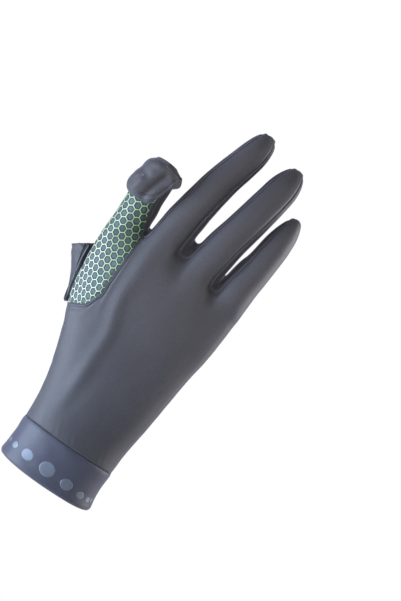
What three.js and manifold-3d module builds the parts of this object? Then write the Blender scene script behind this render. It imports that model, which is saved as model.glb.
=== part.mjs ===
// A sun glove for the right hand, in thin stretch cloth, standing with its fingers up as it is worn.
// Millimetres, +Z from the wrist to the fingertips, the back of the hand faces -Y and the thumb lies at -X.
// The origin is the centre of the wrist opening, at the lower edge of the cuff.
//
// The cloth pieces share one cage of four-sided faces. It is a ring of points at each level of the hand,
// a ring of twelve at each level of a finger, and a strip between neighbouring fingers, as the real glove is cut.
// Each cut piece takes its own faces of the cage and is thickened inwards, with a seam gap to its neighbours.
import * as THREE from "three";
import { mergeVertices } from "three/addons/utils/BufferGeometryUtils.js";
import Module from "manifold-3d";

const wasm = await Module();
wasm.setup();

// Driving dimensions
const CLOTH = 1.2; // wall of the single cloth
const CUFF_CLOTH = 1.8; // wall of the doubled cuff
const SEAM_GAP = 0.4; // between two cut pieces
const LAY_GAP = 0.35; // between a piece and what lies on it
const CAP_GAP = 1.0; // between a finger and its cap turned back over it
const PRINT = 0.6; // thickness of a printed patch or dot
const CUFF_CENTRE = -1.3; // x of the wrist's centre in the tables below
const CUFF_HEIGHT = 24.2;
const CUFF_PROUD = 0.35;

// The hand, one row for each level: the outline as seen from the back, and how far the two sides bulge
const HAND = [
  { z: 24.5, radial: -31.0, ulnar: 27.2, back: 18.6, palm: 18.6 },
  { z: 38.0, radial: -32.1, ulnar: 27.8, back: 17.4, palm: 18.0 },
  { z: 52.0, radial: -34.6, ulnar: 29.2, back: 16.2, palm: 17.6 },
  { z: 66.0, radial: -38.9, ulnar: 30.6, back: 15.4, palm: 17.4 },
  { z: 80.0, radial: -43.6, ulnar: 31.6, back: 14.8, palm: 16.8 },
  { z: 92.0, radial: -48.2, ulnar: 32.8, back: 14.3, palm: 16.0 },
  { z: 104.0, radial: -51.4, ulnar: 34.4, back: 13.8, palm: 15.2 },
  { z: 120.0, radial: -53.6, ulnar: 35.7, back: 13.2, palm: 14.2 },
  { z: 136.0, radial: -54.6, ulnar: 36.2, back: 12.0, palm: 12.4 },
  { z: 150.0, radial: -54.8, ulnar: 36.8, back: 10.6, palm: 10.8 },
];
const FULLNESS = 2.15; // exponent of the hand's section, 2 is an ellipse
const THENAR = { x: -31, z: 76, reachX: 15, reachZ: 24, swell: 7.5 }; // ball of the thumb
const ARCH = { index: 0.4, middle: -0.8, ring: 0.6, little: 3.4 }; // depth of each finger's root

// The fingers, one row for each level: centre, half width, half depth and how far the back is turned, in degrees
const FINGERS = {
  index: {
    rootZ: [139.5, 142.5, 145, 146, 146],
    crotchZ: [138.5, 146],
    levels: [
      { z: 144, x: -44.3, y: 0.4, wide: 10.4, deep: 10.2, turn: 4 },
      { z: 152, x: -44.4, y: -0.2, wide: 10.2, deep: 9.9, turn: -12 },
      { z: 160, x: -45.0, y: -1.0, wide: 9.8, deep: 9.5, turn: -20 },
      { z: 168, x: -45.1, y: -1.8, wide: 9.5, deep: 9.1, turn: -20 },
      { z: 176, x: -44.8, y: -2.6, wide: 9.1, deep: 8.7, turn: -20 },
      { z: 184, x: -44.2, y: -3.4, wide: 8.8, deep: 8.4, turn: -20 },
    ],
  },
  middle: {
    rootZ: [147.5, 150.5, 152, 151.5, 150],
    crotchZ: [146, 149.5],
    levels: [
      { z: 150, x: -21.4, y: -0.8, wide: 11.4, deep: 10.4, turn: -4 },
      { z: 158, x: -20.7, y: -0.7, wide: 10.8, deep: 9.9, turn: -6 },
      { z: 168, x: -19.7, y: -0.2, wide: 10.4, deep: 9.5, turn: -6 },
      { z: 178, x: -18.4, y: 0.5, wide: 10.1, deep: 9.1, turn: -6 },
      { z: 189, x: -16.5, y: 1.5, wide: 9.8, deep: 8.7, turn: -6 },
      { z: 200, x: -14.1, y: 2.7, wide: 9.4, deep: 8.3, turn: -6 },
      { z: 211, x: -11.1, y: 4.0, wide: 8.9, deep: 7.7, turn: -6 },
      { z: 219.5, x: -9.0, y: 5.0, wide: 8.1, deep: 6.9, turn: -6 },
      { z: 226, x: -8.0, y: 5.7, wide: 6.5, deep: 5.3, turn: -6 },
      { z: 229.9, x: -7.6, y: 6.1, wide: 4.1, deep: 3.0, turn: -6 },
    ],
    tip: { z: 231.4, x: -7.4, y: 6.3 },
  },
  ring: {
    rootZ: [150, 151, 150, 147.5, 144.5],
    crotchZ: [149.5, 143.5],
    levels: [
      { z: 147, x: 3.5, y: 0.6, wide: 11.0, deep: 10.0, turn: -3 },
      { z: 157, x: 4.9, y: 0.8, wide: 10.7, deep: 9.6, turn: -6 },
      { z: 167, x: 6.6, y: 1.4, wide: 10.3, deep: 9.2, turn: -6 },
      { z: 178, x: 8.9, y: 2.4, wide: 10.1, deep: 8.9, turn: -6 },
      { z: 189, x: 11.0, y: 3.6, wide: 9.9, deep: 8.6, turn: -6 },
      { z: 200, x: 13.2, y: 5.0, wide: 9.6, deep: 8.2, turn: -6 },
      { z: 209, x: 14.6, y: 6.2, wide: 9.2, deep: 7.7, turn: -6 },
      { z: 215.5, x: 15.6, y: 7.0, wide: 8.0, deep: 6.6, turn: -6 },
      { z: 220.5, x: 16.2, y: 7.6, wide: 5.9, deep: 4.7, turn: -6 },
      { z: 223.4, x: 16.5, y: 8.0, wide: 3.6, deep: 2.7, turn: -6 },
    ],
    tip: { z: 224.7, x: 16.7, y: 8.2 },
  },
  little: {
    rootZ: [144.5, 145, 144, 142, 139.5],
    crotchZ: [143.5, 138.5],
    levels: [
      { z: 144, x: 26.1, y: 3.4, wide: 10.4, deep: 9.4, turn: 6 },
      { z: 153, x: 27.0, y: 3.8, wide: 9.9, deep: 8.9, turn: 9 },
      { z: 162, x: 28.3, y: 4.6, wide: 9.2, deep: 8.4, turn: 10 },
      { z: 171, x: 29.3, y: 5.6, wide: 8.6, deep: 7.9, turn: 10 },
      { z: 180, x: 30.1, y: 6.7, wide: 8.3, deep: 7.5, turn: 10 },
      { z: 188, x: 30.8, y: 7.8, wide: 7.4, deep: 6.7, turn: 10 },
      { z: 194.5, x: 31.3, y: 8.6, wide: 5.9, deep: 5.2, turn: 10 },
      { z: 199.6, x: 31.6, y: 9.2, wide: 3.6, deep: 3.0, turn: 10 },
    ],
    tip: { z: 201.6, x: 31.7, y: 9.5 },
  },
};
const FINGER_NAMES = ["index", "middle", "ring", "little"];
const THUMB = [
  { z: 94.2, x: -40.2, y: 26.0, wide: 11.2, deep: 11.4 },
  { z: 100.6, x: -44.9, y: 27.2, wide: 10.6, deep: 10.7 },
  { z: 107.2, x: -49.6, y: 27.9, wide: 10.2, deep: 10.2 },
  { z: 113.7, x: -54.2, y: 28.5, wide: 9.9, deep: 9.9 },
  { z: 119.3, x: -58.1, y: 29.0, wide: 9.7, deep: 9.7 },
];

// The honeycomb panel ends below at a curved row of the cage: height and place across for its five columns
const PANEL_FOOT = [
  { z: 90.6, across: -0.975 },
  { z: 91.8, across: -0.905 },
  { z: 94.6, across: -0.765 },
  { z: 99.0, across: -0.65 },
  { z: 105.5, across: -0.57 },
];
const PALM_OUTER = [-0.9, -0.72, -0.5];
const PALM_FOOT = [93.5, 97, 99.5, 101.5, 103, 104];
const PANEL_TOP_ACROSS = -0.51; // the panel's edge where it meets the index and middle fingers' crotch

// Counts of the cage
const FINGER_SIDES = 5; // points across the back of a finger
const COLUMNS = FINGER_NAMES.length * FINGER_SIDES;
const RING = 2 * COLUMNS + 2; // points round the hand: back, ulnar side, palm, radial side
const ULNAR = COLUMNS;
const RADIAL = RING - 1;
const FOOT_ROW = 8; // the row at the panel's foot
const ROWS = 14; // the row at the finger roots
const THUMB_ROWS = 4; // the thumb's hole is four rows high and three columns wide
const THUMB_ROW = FOOT_ROW - THUMB_ROWS;
const THUMB_SIDES = 2 * (THUMB_ROWS + 3);
const THUMB_LEAD = [0.22, 0.48, 0.75]; // rings between the hole's edge and the thumb's first level
const THUMB_COLUMN = RING - 4;

const colours = { cloth: 0x4b4d57, panel: 0x8aa08c, cuff: 0x4e505c, dot: 0x8d98a6, grip: 0x5d6470 };

// Reads a column of a table at a level, on a smooth curve through its rows.
function read(table, level, column) {
  const last = table.length - 1;
  let i = 0;
  while (i < last - 1 && level > table[i + 1].z) i += 1;
  const [a, b] = [table[i], table[i + 1]];
  const [before, after] = [table[Math.max(0, i - 1)], table[Math.min(last, i + 2)]];
  const span = b.z - a.z;
  const t = THREE.MathUtils.clamp((level - a.z) / span, 0, 1);
  const slopeA = ((b[column] - before[column]) / (b.z - before.z)) * span;
  const slopeB = ((after[column] - a[column]) / (after.z - a.z)) * span;
  const [t2, t3] = [t * t, t * t * t];
  return (
    (2 * t3 - 3 * t2 + 1) * a[column] +
    (t3 - 2 * t2 + t) * slopeA +
    (3 * t2 - 2 * t3) * b[column] +
    (t3 - t2) * slopeB
  );
}

const mix = THREE.MathUtils.lerp;
const radians = THREE.MathUtils.degToRad;

// Place across the hand, from -1 at the thumb's side to 1, of a column of points
function evenAcross(column) {
  return Math.sin(radians(-76 + (152 * column) / (COLUMNS - 1)));
}

// The palm's three outer columns are wide ones, since the thumb's hole is cut there.
function palmAcross(column) {
  if (column < PALM_OUTER.length) return PALM_OUTER[column];
  const start = Math.asin(PALM_OUTER.at(-1));
  const share = (column - PALM_OUTER.length + 1) / (COLUMNS - PALM_OUTER.length);
  return Math.sin(mix(start, radians(76), share));
}

function footAcross(column, isPalm) {
  if (isPalm) return palmAcross(column);
  if (column < PANEL_FOOT.length) return PANEL_FOOT[column].across;
  const start = Math.asin(PANEL_FOOT[PANEL_FOOT.length - 1].across);
  const share = (column - PANEL_FOOT.length + 1) / (COLUMNS - PANEL_FOOT.length);
  return Math.sin(mix(start, radians(76), share));
}

// A point of a finger's ring. Spoke 0 to 4 is the back, 5 the ulnar side, 6 to 10 the palm and 11 the radial side.
function ringPoint(level, tangent, spoke) {
  const angle = radians(-60 + 30 * spoke + (level.turn ?? 0));
  const across = new THREE.Vector3(1, 0, 0).addScaledVector(tangent, -tangent.x).normalize();
  const backward = new THREE.Vector3().crossVectors(across, tangent).normalize();
  return new THREE.Vector3(level.x, level.y, level.z)
    .addScaledVector(across, level.wide * Math.sin(angle))
    .addScaledVector(backward, level.deep * Math.cos(angle));
}

function tangentAt(levels, i) {
  const a = levels[Math.max(0, i - 1)];
  const b = levels[Math.min(levels.length - 1, i + 1)];
  return new THREE.Vector3(b.x - a.x, b.y - a.y, b.z - a.z).normalize();
}

// The cloth between two fingers climbs from the back to the palm: how far, on the radial and ulnar side of each finger
const WEB_RISE = { index: [0, 5], middle: [5, 10], ring: [10, 10], little: [10, 0] };
const WEB_FADE = [1, 1, 0.6, 0.25]; // its share in a finger's first rings
const WEB_MIDDLE = 0.8; // its share halfway between the back and the palm

// How far a point of a finger's ring lies further up the finger
function webRise(name, i, spoke) {
  const [radial, ulnar] = WEB_RISE[name];
  const share = WEB_FADE[i] ?? 0;
  if (spoke < 5) return 0;
  if (spoke === 5) return share * ulnar * WEB_MIDDLE;
  if (spoke === 11) return share * radial * WEB_MIDDLE;
  return share * mix(ulnar, radial, (spoke - 6) / 4);
}

// The spoke of a finger's ring that a point of the hand's ring belongs to
function rootSpoke(n) {
  if (n === ULNAR) return { finger: 3, spoke: 5 };
  if (n === RADIAL) return { finger: 0, spoke: 11 };
  const column = n < ULNAR ? n : RADIAL - 1 - n;
  const finger = Math.floor(column / FINGER_SIDES);
  const side = column % FINGER_SIDES;
  return { finger, spoke: n < ULNAR ? side : 10 - side };
}

function rootPoint(finger, spoke) {
  const name = FINGER_NAMES[finger];
  const { levels, rootZ, crotchZ } = FINGERS[name];
  const up = new THREE.Vector3(0, 0, 1);
  const point = ringPoint(levels[0], up, spoke);
  if (spoke === 5) point.z = crotchZ[1];
  else if (spoke === 11) point.z = crotchZ[0];
  else point.z = spoke < 5 ? rootZ[spoke] : rootZ[10 - spoke];
  return point.addScaledVector(tangentAt(levels, 0), webRise(name, 0, spoke));
}

// A point of the hand's section, out of its tables
function sectionPoint(level, across, isPalm) {
  const radial = read(HAND, level, "radial");
  const ulnar = read(HAND, level, "ulnar");
  const bulge = read(HAND, level, isPalm ? "palm" : "back");
  const x = mix(radial, ulnar, (across + 1) / 2);
  let y = bulge * (1 - Math.abs(across) ** FULLNESS) ** (1 / FULLNESS);
  if (isPalm) {
    const reach = ((x - THENAR.x) / THENAR.reachX) ** 2 + ((level - THENAR.z) / THENAR.reachZ) ** 2;
    y += THENAR.swell * Math.exp(-reach) * (1 - across ** 8);
  }
  return new THREE.Vector3(x, isPalm ? y : -y, level);
}

// A point of the hand's cage, at a row from the wrist seam to the finger roots
function handPoint(row, n) {
  const isPalm = n > ULNAR && n < RADIAL;
  const isSide = n === ULNAR || n === RADIAL;
  const column = THREE.MathUtils.clamp(n < ULNAR ? n : RADIAL - 1 - n, 0, COLUMNS - 1);
  const root = rootSpoke(n);
  const top = rootPoint(root.finger, root.spoke);
  if (row === ROWS) return top;
  const wristZ = HAND[0].z;
  let footZ = 104;
  if (n === RADIAL) footZ = 90;
  else if (isPalm) footZ = PALM_FOOT[Math.min(column, PALM_FOOT.length - 1)];
  else if (column < PANEL_FOOT.length) footZ = PANEL_FOOT[column].z;
  const topAcross = THREE.MathUtils.clamp(
    (2 * (top.x - HAND.at(-1).radial)) / (HAND.at(-1).ulnar - HAND.at(-1).radial) - 1, -0.985, 0.985);
  const isPanelEdge = n === PANEL_FOOT.length - 1;
  const upperAcross = isPanelEdge ? PANEL_TOP_ACROSS : topAcross;
  let level;
  let across;
  if (row <= FOOT_ROW) {
    const share = row / FOOT_ROW;
    level = mix(wristZ, footZ, share);
    across = mix(evenAcross(column), footAcross(column, isPalm), share);
  } else {
    const share = (row - FOOT_ROW) / (ROWS - FOOT_ROW);
    level = mix(footZ, top.z, share);
    across = mix(footAcross(column, isPalm), upperAcross, share);
  }
  if (isSide) across = n === ULNAR ? 1 : -1;
  const point = sectionPoint(level, across, isPalm);
  const archShare = THREE.MathUtils.smoothstep(level, 60, 146);
  point.y += archShare * ARCH[FINGER_NAMES[root.finger]];
  const nearRoot = { 1: 0.42, 2: 0.1 }[ROWS - row] ?? 0; // the last rows lead over to the fingers' own rings
  point.y = mix(point.y, top.y, nearRoot);
  if (isSide) point.x = mix(point.x, top.x, nearRoot);
  return point;
}

// The cage
const points = [];
const faces = [];

function addPoint(point) {
  points.push(point);
  return points.length - 1;
}

function addFace(piece, ...corners) {
  faces.push({ piece, corners });
}

const hand = [];
for (let row = 0; row <= ROWS; row += 1) {
  hand.push(Array.from({ length: RING }, (_, n) => addPoint(handPoint(row, n))));
}

function handPiece(row, n) {
  if (n < PANEL_FOOT.length - 1) return row >= FOOT_ROW ? "index_panel" : "back_panel";
  if (n === RADIAL) return row >= FOOT_ROW ? "index_panel" : "back_panel";
  return n <= ULNAR - 1 ? "back_panel" : "palm_panel";
}

for (let row = 0; row < ROWS; row += 1) {
  for (let n = 0; n < RING; n += 1) {
    const isThumbHole = row >= THUMB_ROW && row < FOOT_ROW && n >= THUMB_COLUMN && n < RADIAL;
    if (isThumbHole) continue;
    const next = (n + 1) % RING;
    addFace(handPiece(row, n), hand[row][n], hand[row][next], hand[row + 1][next], hand[row + 1][n]);
  }
}

// The fingers
const fingerRings = {};
FINGER_NAMES.forEach((name, f) => {
  const { levels, tip } = FINGERS[name];
  const back = hand[ROWS].slice(f * FINGER_SIDES, (f + 1) * FINGER_SIDES);
  const palmStart = RADIAL - (f + 1) * FINGER_SIDES;
  const palm = hand[ROWS].slice(palmStart, palmStart + FINGER_SIDES);
  const ulnarSide = f === 3 ? hand[ROWS][ULNAR] : addPoint(rootPoint(f, 5));
  const radialSide = f === 0 ? hand[ROWS][RADIAL] : addPoint(rootPoint(f, 11));
  const rings = [[...back, ulnarSide, ...palm, radialSide]];
  for (let i = 1; i < levels.length; i += 1) {
    const tangent = tangentAt(levels, i);
    rings.push(
      Array.from({ length: 12 }, (_, spoke) =>
        addPoint(ringPoint(levels[i], tangent, spoke).addScaledVector(tangent, webRise(name, i, spoke)))),
    );
  }
  fingerRings[name] = rings;
  const strips = ["fourchette_index_middle", "fourchette_middle_ring", "fourchette_ring_little"];
  const backPiece = f === 0 ? "index_panel" : "back_panel";
  const pieceOf = (spoke) => {
    if (spoke < 4) return backPiece;
    if (spoke < 6) return strips[f] ?? (spoke === 4 ? "back_panel" : "palm_panel");
    if (spoke < 10) return "palm_panel";
    if (f === 0) return spoke === 10 ? "palm_panel" : "index_panel";
    return strips[f - 1];
  };
  for (let i = 0; i + 1 < rings.length; i += 1) {
    for (let spoke = 0; spoke < 12; spoke += 1) {
      const next = (spoke + 1) % 12;
      addFace(pieceOf(spoke), rings[i][spoke], rings[i][next], rings[i + 1][next], rings[i + 1][spoke]);
    }
  }
  if (!tip) return;
  const end = rings.at(-1);
  const middleRow = [-0.5, 0, 0.5].map((share) =>
    addPoint(new THREE.Vector3(tip.x + share * levels.at(-1).wide, tip.y, tip.z - 2 * share * share)));
  const [left, centre, right] = middleRow;
  addFace("back_panel", end[0], end[1], left, end[11]);
  addFace("back_panel", end[1], end[2], centre, left);
  addFace("back_panel", end[2], end[3], right, centre);
  addFace("back_panel", end[3], end[4], end[5], right);
  addFace("palm_panel", end[11], left, end[9], end[10]);
  addFace("palm_panel", left, centre, end[8], end[9]);
  addFace("palm_panel", centre, right, end[7], end[8]);
  addFace("palm_panel", right, end[5], end[6], end[7]);
});

// The crotches, where each strip turns from one finger to the next
for (let f = 0; f < 3; f += 1) {
  const left = fingerRings[FINGER_NAMES[f]][0];
  const right = fingerRings[FINGER_NAMES[f + 1]][0];
  const strip = ["fourchette_index_middle", "fourchette_middle_ring", "fourchette_ring_little"][f];
  addFace(strip, left[4], right[0], right[11], left[5]);
  addFace(strip, left[5], right[11], right[10], left[6]);
}

// The thumb's tube, from the hole's own edge. Angle 0 faces outwards, 90 degrees the index finger.
const thumbEdge = [
  ...[0, 1, 2, 3].map((k) => hand[THUMB_ROW][THUMB_COLUMN + k]),
  ...[1, 2, 3, 4].map((k) => hand[THUMB_ROW + k][RADIAL]),
  ...[2, 1, 0].map((k) => hand[FOOT_ROW][THUMB_COLUMN + k]),
  ...[3, 2, 1].map((k) => hand[THUMB_ROW + k][THUMB_COLUMN]),
];

function thumbFrame(i) {
  const tangent = tangentAt(THUMB, i);
  const front = new THREE.Vector3(-1, -0.15, 0);
  front.addScaledVector(tangent, -tangent.dot(front)).normalize();
  const web = new THREE.Vector3().crossVectors(tangent, front);
  return { tangent, front, web };
}

function thumbPoint(i, spoke) {
  const { front, web } = thumbFrame(i);
  const angle = (2 * Math.PI * (spoke - 3 - THUMB_ROWS / 2)) / THUMB_SIDES;
  return new THREE.Vector3(THUMB[i].x, THUMB[i].y, THUMB[i].z)
    .addScaledVector(front, THUMB[i].wide * Math.cos(angle))
    .addScaledVector(web, THUMB[i].deep * Math.sin(angle));
}

// Between the edge and the first level each spoke follows a curve that leaves the hand upwards.
function leadPoint(t, spoke) {
  const [from, to] = [points[thumbEdge[spoke]], thumbPoint(0, spoke)];
  const reach = from.distanceTo(to);
  const straight = to.clone().sub(from).normalize();
  const upShare = THREE.MathUtils.clamp(straight.z, 0, 1) ** 2;
  const leave = straight.clone().lerp(new THREE.Vector3(-0.25, 0.35, 0.9), upShare).multiplyScalar(reach * 0.9);
  const arrive = straight.clone().lerp(thumbFrame(0).tangent, 0.3 + 0.7 * upShare).multiplyScalar(reach * 0.9);
  const [t2, t3] = [t * t, t * t * t];
  return new THREE.Vector3()
    .addScaledVector(from, 2 * t3 - 3 * t2 + 1)
    .addScaledVector(leave, t3 - 2 * t2 + t)
    .addScaledVector(to, 3 * t2 - 2 * t3)
    .addScaledVector(arrive, t3 - t2);
}

const thumbSpokes = Array.from({ length: THUMB_SIDES }, (_, spoke) => spoke);
const thumbRings = [
  thumbEdge,
  ...THUMB_LEAD.map((t) => thumbSpokes.map((spoke) => addPoint(leadPoint(t, spoke)))),
  ...THUMB.map((_, i) => thumbSpokes.map((spoke) => addPoint(thumbPoint(i, spoke)))),
];
for (let i = 0; i + 1 < thumbRings.length; i += 1) {
  thumbSpokes.forEach((spoke) => {
    const next = (spoke + 1) % THUMB_SIDES;
    const [lower, upper] = [thumbRings[i], thumbRings[i + 1]];
    addFace("thumb_sleeve", lower[spoke], lower[next], upper[next], upper[spoke]);
  });
}

// The mean normal at each point of a set of faces
function meanNormals(set) {
  const normals = new Map();
  set.forEach(({ corners }) => {
    const [a, b, c, d] = corners.map((i) => points[i]);
    const normal = new THREE.Vector3().crossVectors(c.clone().sub(a), d.clone().sub(b));
    corners.forEach((i) => normals.set(i, (normals.get(i) ?? new THREE.Vector3()).add(normal)));
  });
  normals.forEach((normal) => normal.normalize());
  return normals;
}

const cageNormals = meanNormals(faces);
const CREASE = 0.55; // below this cosine a seam is a sharp crease, and each side keeps its own normal

function solidGeometry(vertices, triangles) {
  const geometry = new THREE.BufferGeometry();
  geometry.setAttribute("position", new THREE.Float32BufferAttribute(vertices.flatMap((v) => v.toArray()), 3));
  geometry.setIndex(triangles.flat());
  geometry.computeVertexNormals();
  return geometry;
}

// Thickens the cage's faces of one cut piece inwards, and draws its edges back from the neighbours.
function cutPiece(piece) {
  const own = faces.filter((face) => face.piece === piece);
  const edges = new Map();
  own.forEach(({ corners }) => corners.forEach((a, k) => edges.set(`${a},${corners[(k + 1) % 4]}`, [a, corners[(k + 1) % 4]])));
  const rim = [...edges.values()].filter(([a, b]) => !edges.has(`${b},${a}`));
  const rimPoints = new Set(rim.flat());
  const inward = new Map();
  own.forEach(({ corners }) => {
    const centre = corners.reduce((sum, i) => sum.add(points[i]), new THREE.Vector3()).divideScalar(4);
    corners.filter((i) => rimPoints.has(i)).forEach((i) => {
      const pull = inward.get(i) ?? new THREE.Vector3();
      inward.set(i, pull.add(centre.clone().sub(points[i]).normalize()));
    });
  });
  const normals = meanNormals(own);
  normals.forEach((normal, i) => {
    if (normal.dot(cageNormals.get(i)) > CREASE) normals.set(i, cageNormals.get(i));
  });
  const order = new Map();
  const outer = [];
  const inner = [];
  own.forEach(({ corners }) => corners.forEach((i) => {
    if (order.has(i)) return;
    order.set(i, outer.length);
    const point = points[i].clone();
    if (inward.has(i)) {
      const pull = inward.get(i);
      pull.addScaledVector(normals.get(i), -pull.dot(normals.get(i))).normalize();
      point.addScaledVector(pull, SEAM_GAP / 2);
    }
    outer.push(point);
    inner.push(point.clone().addScaledVector(normals.get(i), -CLOTH));
  }));
  const count = outer.length;
  const triangles = [];
  own.forEach(({ corners }) => {
    const [a, b, c, d] = corners.map((i) => order.get(i));
    triangles.push([a, b, c], [a, c, d], [c + count, b + count, a + count], [d + count, c + count, a + count]);
  });
  rim.forEach(([from, to]) => {
    const [a, b] = [order.get(from), order.get(to)];
    triangles.push([a, a + count, b], [b, a + count, b + count]);
  });
  return solidGeometry([...outer, ...inner], triangles);
}

// A solid between two grids of points, outer and inner, of like size
function slab(outer, inner) {
  const [rows, columns] = [outer.length, outer[0].length];
  const at = (r, c) => r * columns + c;
  const count = rows * columns;
  const triangles = [];
  for (let r = 0; r + 1 < rows; r += 1) {
    for (let c = 0; c + 1 < columns; c += 1) {
      const [a, b, d, e] = [at(r, c), at(r, c + 1), at(r + 1, c + 1), at(r + 1, c)];
      triangles.push([a, b, d], [a, d, e], [d + count, b + count, a + count], [e + count, d + count, a + count]);
    }
  }
  const border = [];
  for (let c = 0; c + 1 < columns; c += 1) border.push([at(0, c), at(0, c + 1)]);
  for (let r = 0; r + 1 < rows; r += 1) border.push([at(r, columns - 1), at(r + 1, columns - 1)]);
  for (let c = columns - 1; c > 0; c -= 1) border.push([at(rows - 1, c), at(rows - 1, c - 1)]);
  for (let r = rows - 1; r > 0; r -= 1) border.push([at(r, 0), at(r - 1, 0)]);
  border.forEach(([a, b]) => triangles.push([a, a + count, b], [b, a + count, b + count]));
  return solidGeometry([...outer.flat(), ...inner.flat()], triangles);
}

function toSolid(geometry) {
  const bare = new THREE.BufferGeometry();
  bare.setAttribute("position", geometry.getAttribute("position"));
  bare.setIndex(geometry.index);
  const merged = mergeVertices(bare, 1e-4);
  return new wasm.Manifold(new wasm.Mesh({
    numProp: 3,
    vertProperties: merged.attributes.position.array,
    triVerts: new Uint32Array(merged.index.array),
  }));
}

function toGeometry(solid) {
  const { vertProperties, triVerts } = solid.getMesh();
  const geometry = new THREE.BufferGeometry();
  geometry.setAttribute("position", new THREE.BufferAttribute(new Float32Array(vertProperties), 3));
  geometry.setIndex(new THREE.BufferAttribute(new Uint32Array(triVerts), 1));
  geometry.computeVertexNormals();
  return geometry;
}

// The cuff, a doubled band below the wrist seam: height, and how far it stands out of the wrist's own section
const CUFF = [
  { z: 0, proud: -0.2 },
  { z: 1.2, proud: 0.9 },
  { z: 8, proud: 0.1 },
  { z: 16, proud: -0.3 },
  { z: CUFF_HEIGHT, proud: 0 },
];

function cuffPoint(level, proud, n) {
  const base = handPoint(0, n);
  const out = new THREE.Vector3(base.x - CUFF_CENTRE, base.y, 0).normalize();
  const flare = level < 8 && n > 12 && n < 30 ? (1 - level / 8) * 0.8 : 0; // the free edge flares on the ulnar side
  return new THREE.Vector3(base.x, base.y, level).addScaledVector(out, CUFF_PROUD + proud + flare);
}

function cuffBand() {
  const around = Array.from({ length: RING }, (_, n) => n);
  const outer = CUFF.map(({ z, proud }) => around.map((n) => cuffPoint(z, proud, n)));
  const inner = CUFF.map(({ z, proud }) => around.map((n) => cuffPoint(z, proud - CUFF_CLOTH, n)));
  const rings = [...outer, ...inner.reverse()];
  const triangles = [];
  rings.forEach((ring, r) => {
    const next = (r + 1) % rings.length;
    around.forEach((n) => {
      const m = (n + 1) % RING;
      triangles.push([r * RING + n, r * RING + m, next * RING + m], [r * RING + n, next * RING + m, next * RING + n]);
    });
  });
  return solidGeometry(rings.flat(), triangles);
}

// The index fingertip's cap, turned back over the finger: where it ends on either side, in degrees round the finger
// from its back, and how far it is puffed out
const INDEX_CAP = [
  { z: 160.6, from: -52, to: 2, puff: 2.0 },
  { z: 162.6, from: -84, to: 20, puff: 4.0 },
  { z: 166.2, from: -106, to: 30, puff: 5.2 },
  { z: 170.5, from: -98, to: 38, puff: 5.6 },
  { z: 175, from: -94, to: 50, puff: 5.4 },
  { z: 179.2, from: -92, to: 90, puff: 5.0 },
  { z: 182.6, from: -78, to: 74, puff: 4.6 },
  { z: 185.4, from: -46, to: 52, puff: 3.4 },
];
const CAP_COLUMNS = 11;

// One level of a cap that lies round a finger. The puff fades out to the cloth's two layers at either side.
function capRow(axis, row, least, depth, sideShare) {
  return Array.from({ length: CAP_COLUMNS }, (_, c) => {
    const share = c / (CAP_COLUMNS - 1);
    const angle = radians(mix(row.from, row.to, mix(sideShare, 1 - sideShare, share)));
    const swell = Math.sin(Math.PI * share) ** 0.7;
    const lift = CAP_GAP + mix(least, depth, swell);
    return axis(row.z, angle, lift);
  });
}

function indexAxis(z, angle, lift) {
  const levels = FINGERS.index.levels;
  const level = Math.min(z, levels.at(-1).z);
  const wide = read(levels, level, "wide") + lift;
  const deep = read(levels, level, "deep") + lift;
  const x = read(levels, level, "x");
  const y = read(levels, level, "y");
  return new THREE.Vector3(x + wide * Math.sin(angle), y - deep * Math.cos(angle), z);
}

function indexCap() {
  const outer = INDEX_CAP.map((row) => capRow(indexAxis, row, 1.6, row.puff, 0));
  const inner = INDEX_CAP.map((row) => capRow(indexAxis, row, 0, 0, 0));
  const pocketRows = INDEX_CAP.slice(2).map((row) => ({ ...row }));
  pocketRows.at(-1).z += 0.6;
  const pocketOuter = pocketRows.map((row) => capRow(indexAxis, row, 1.4, row.puff - CLOTH, 0.14));
  const pocketInner = pocketRows.map((row) => capRow(indexAxis, row, 1.0, CLOTH, 0.14));
  return toGeometry(toSolid(slab(outer, inner)).subtract(toSolid(slab(pocketOuter, pocketInner))));
}

// The thumb's cap, turned back and pressed flat between the thumb and the index finger: its two edges at each level,
// in degrees round the thumb from its outer side
const THUMB_CAP = [
  { z: 93.5, from: -12, to: 4, puff: 1.9 },
  { z: 96, from: -14, to: 14, puff: 2.2 },
  { z: 99.5, from: -2, to: 32, puff: 2.4 },
  { z: 104.2, from: 18, to: 56, puff: 2.4 },
  { z: 109.8, from: 38, to: 78, puff: 2.4 },
  { z: 115.4, from: 54, to: 92, puff: 2.4 },
  { z: 120.6, from: 60, to: 94, puff: 2.3 },
];

function thumbAxis(z, angle, lift) {
  const level = THREE.MathUtils.clamp(z, THUMB[0].z, THUMB.at(-1).z);
  const { front, web } = thumbFrame(2);
  const wide = read(THUMB, level, "wide") + lift;
  const deep = read(THUMB, level, "deep") + lift;
  const centre = new THREE.Vector3(read(THUMB, level, "x"), read(THUMB, level, "y"), z);
  return centre
    .addScaledVector(front, deep * Math.cos(angle))
    .addScaledVector(web, wide * Math.sin(angle));
}

function thumbCap() {
  const outer = THUMB_CAP.map((row) => capRow(thumbAxis, row, 1.7, row.puff, 0));
  const inner = THUMB_CAP.map((row) => capRow(thumbAxis, row, 0.2, 0.2, 0));
  return slab(outer, inner);
}

// Printed pieces lie on the outside of a mesh, found by a ray from outside
const ray = new THREE.Raycaster();

function surface(mesh, from, towards) {
  const direction = towards.clone().sub(from).normalize();
  ray.set(from, direction);
  const hit = ray.intersectObject(mesh, false)[0];
  return { point: hit.point, out: direction.clone().negate() };
}

function lifted({ point, out }, lift) {
  return point.clone().addScaledVector(out, lift);
}

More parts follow.
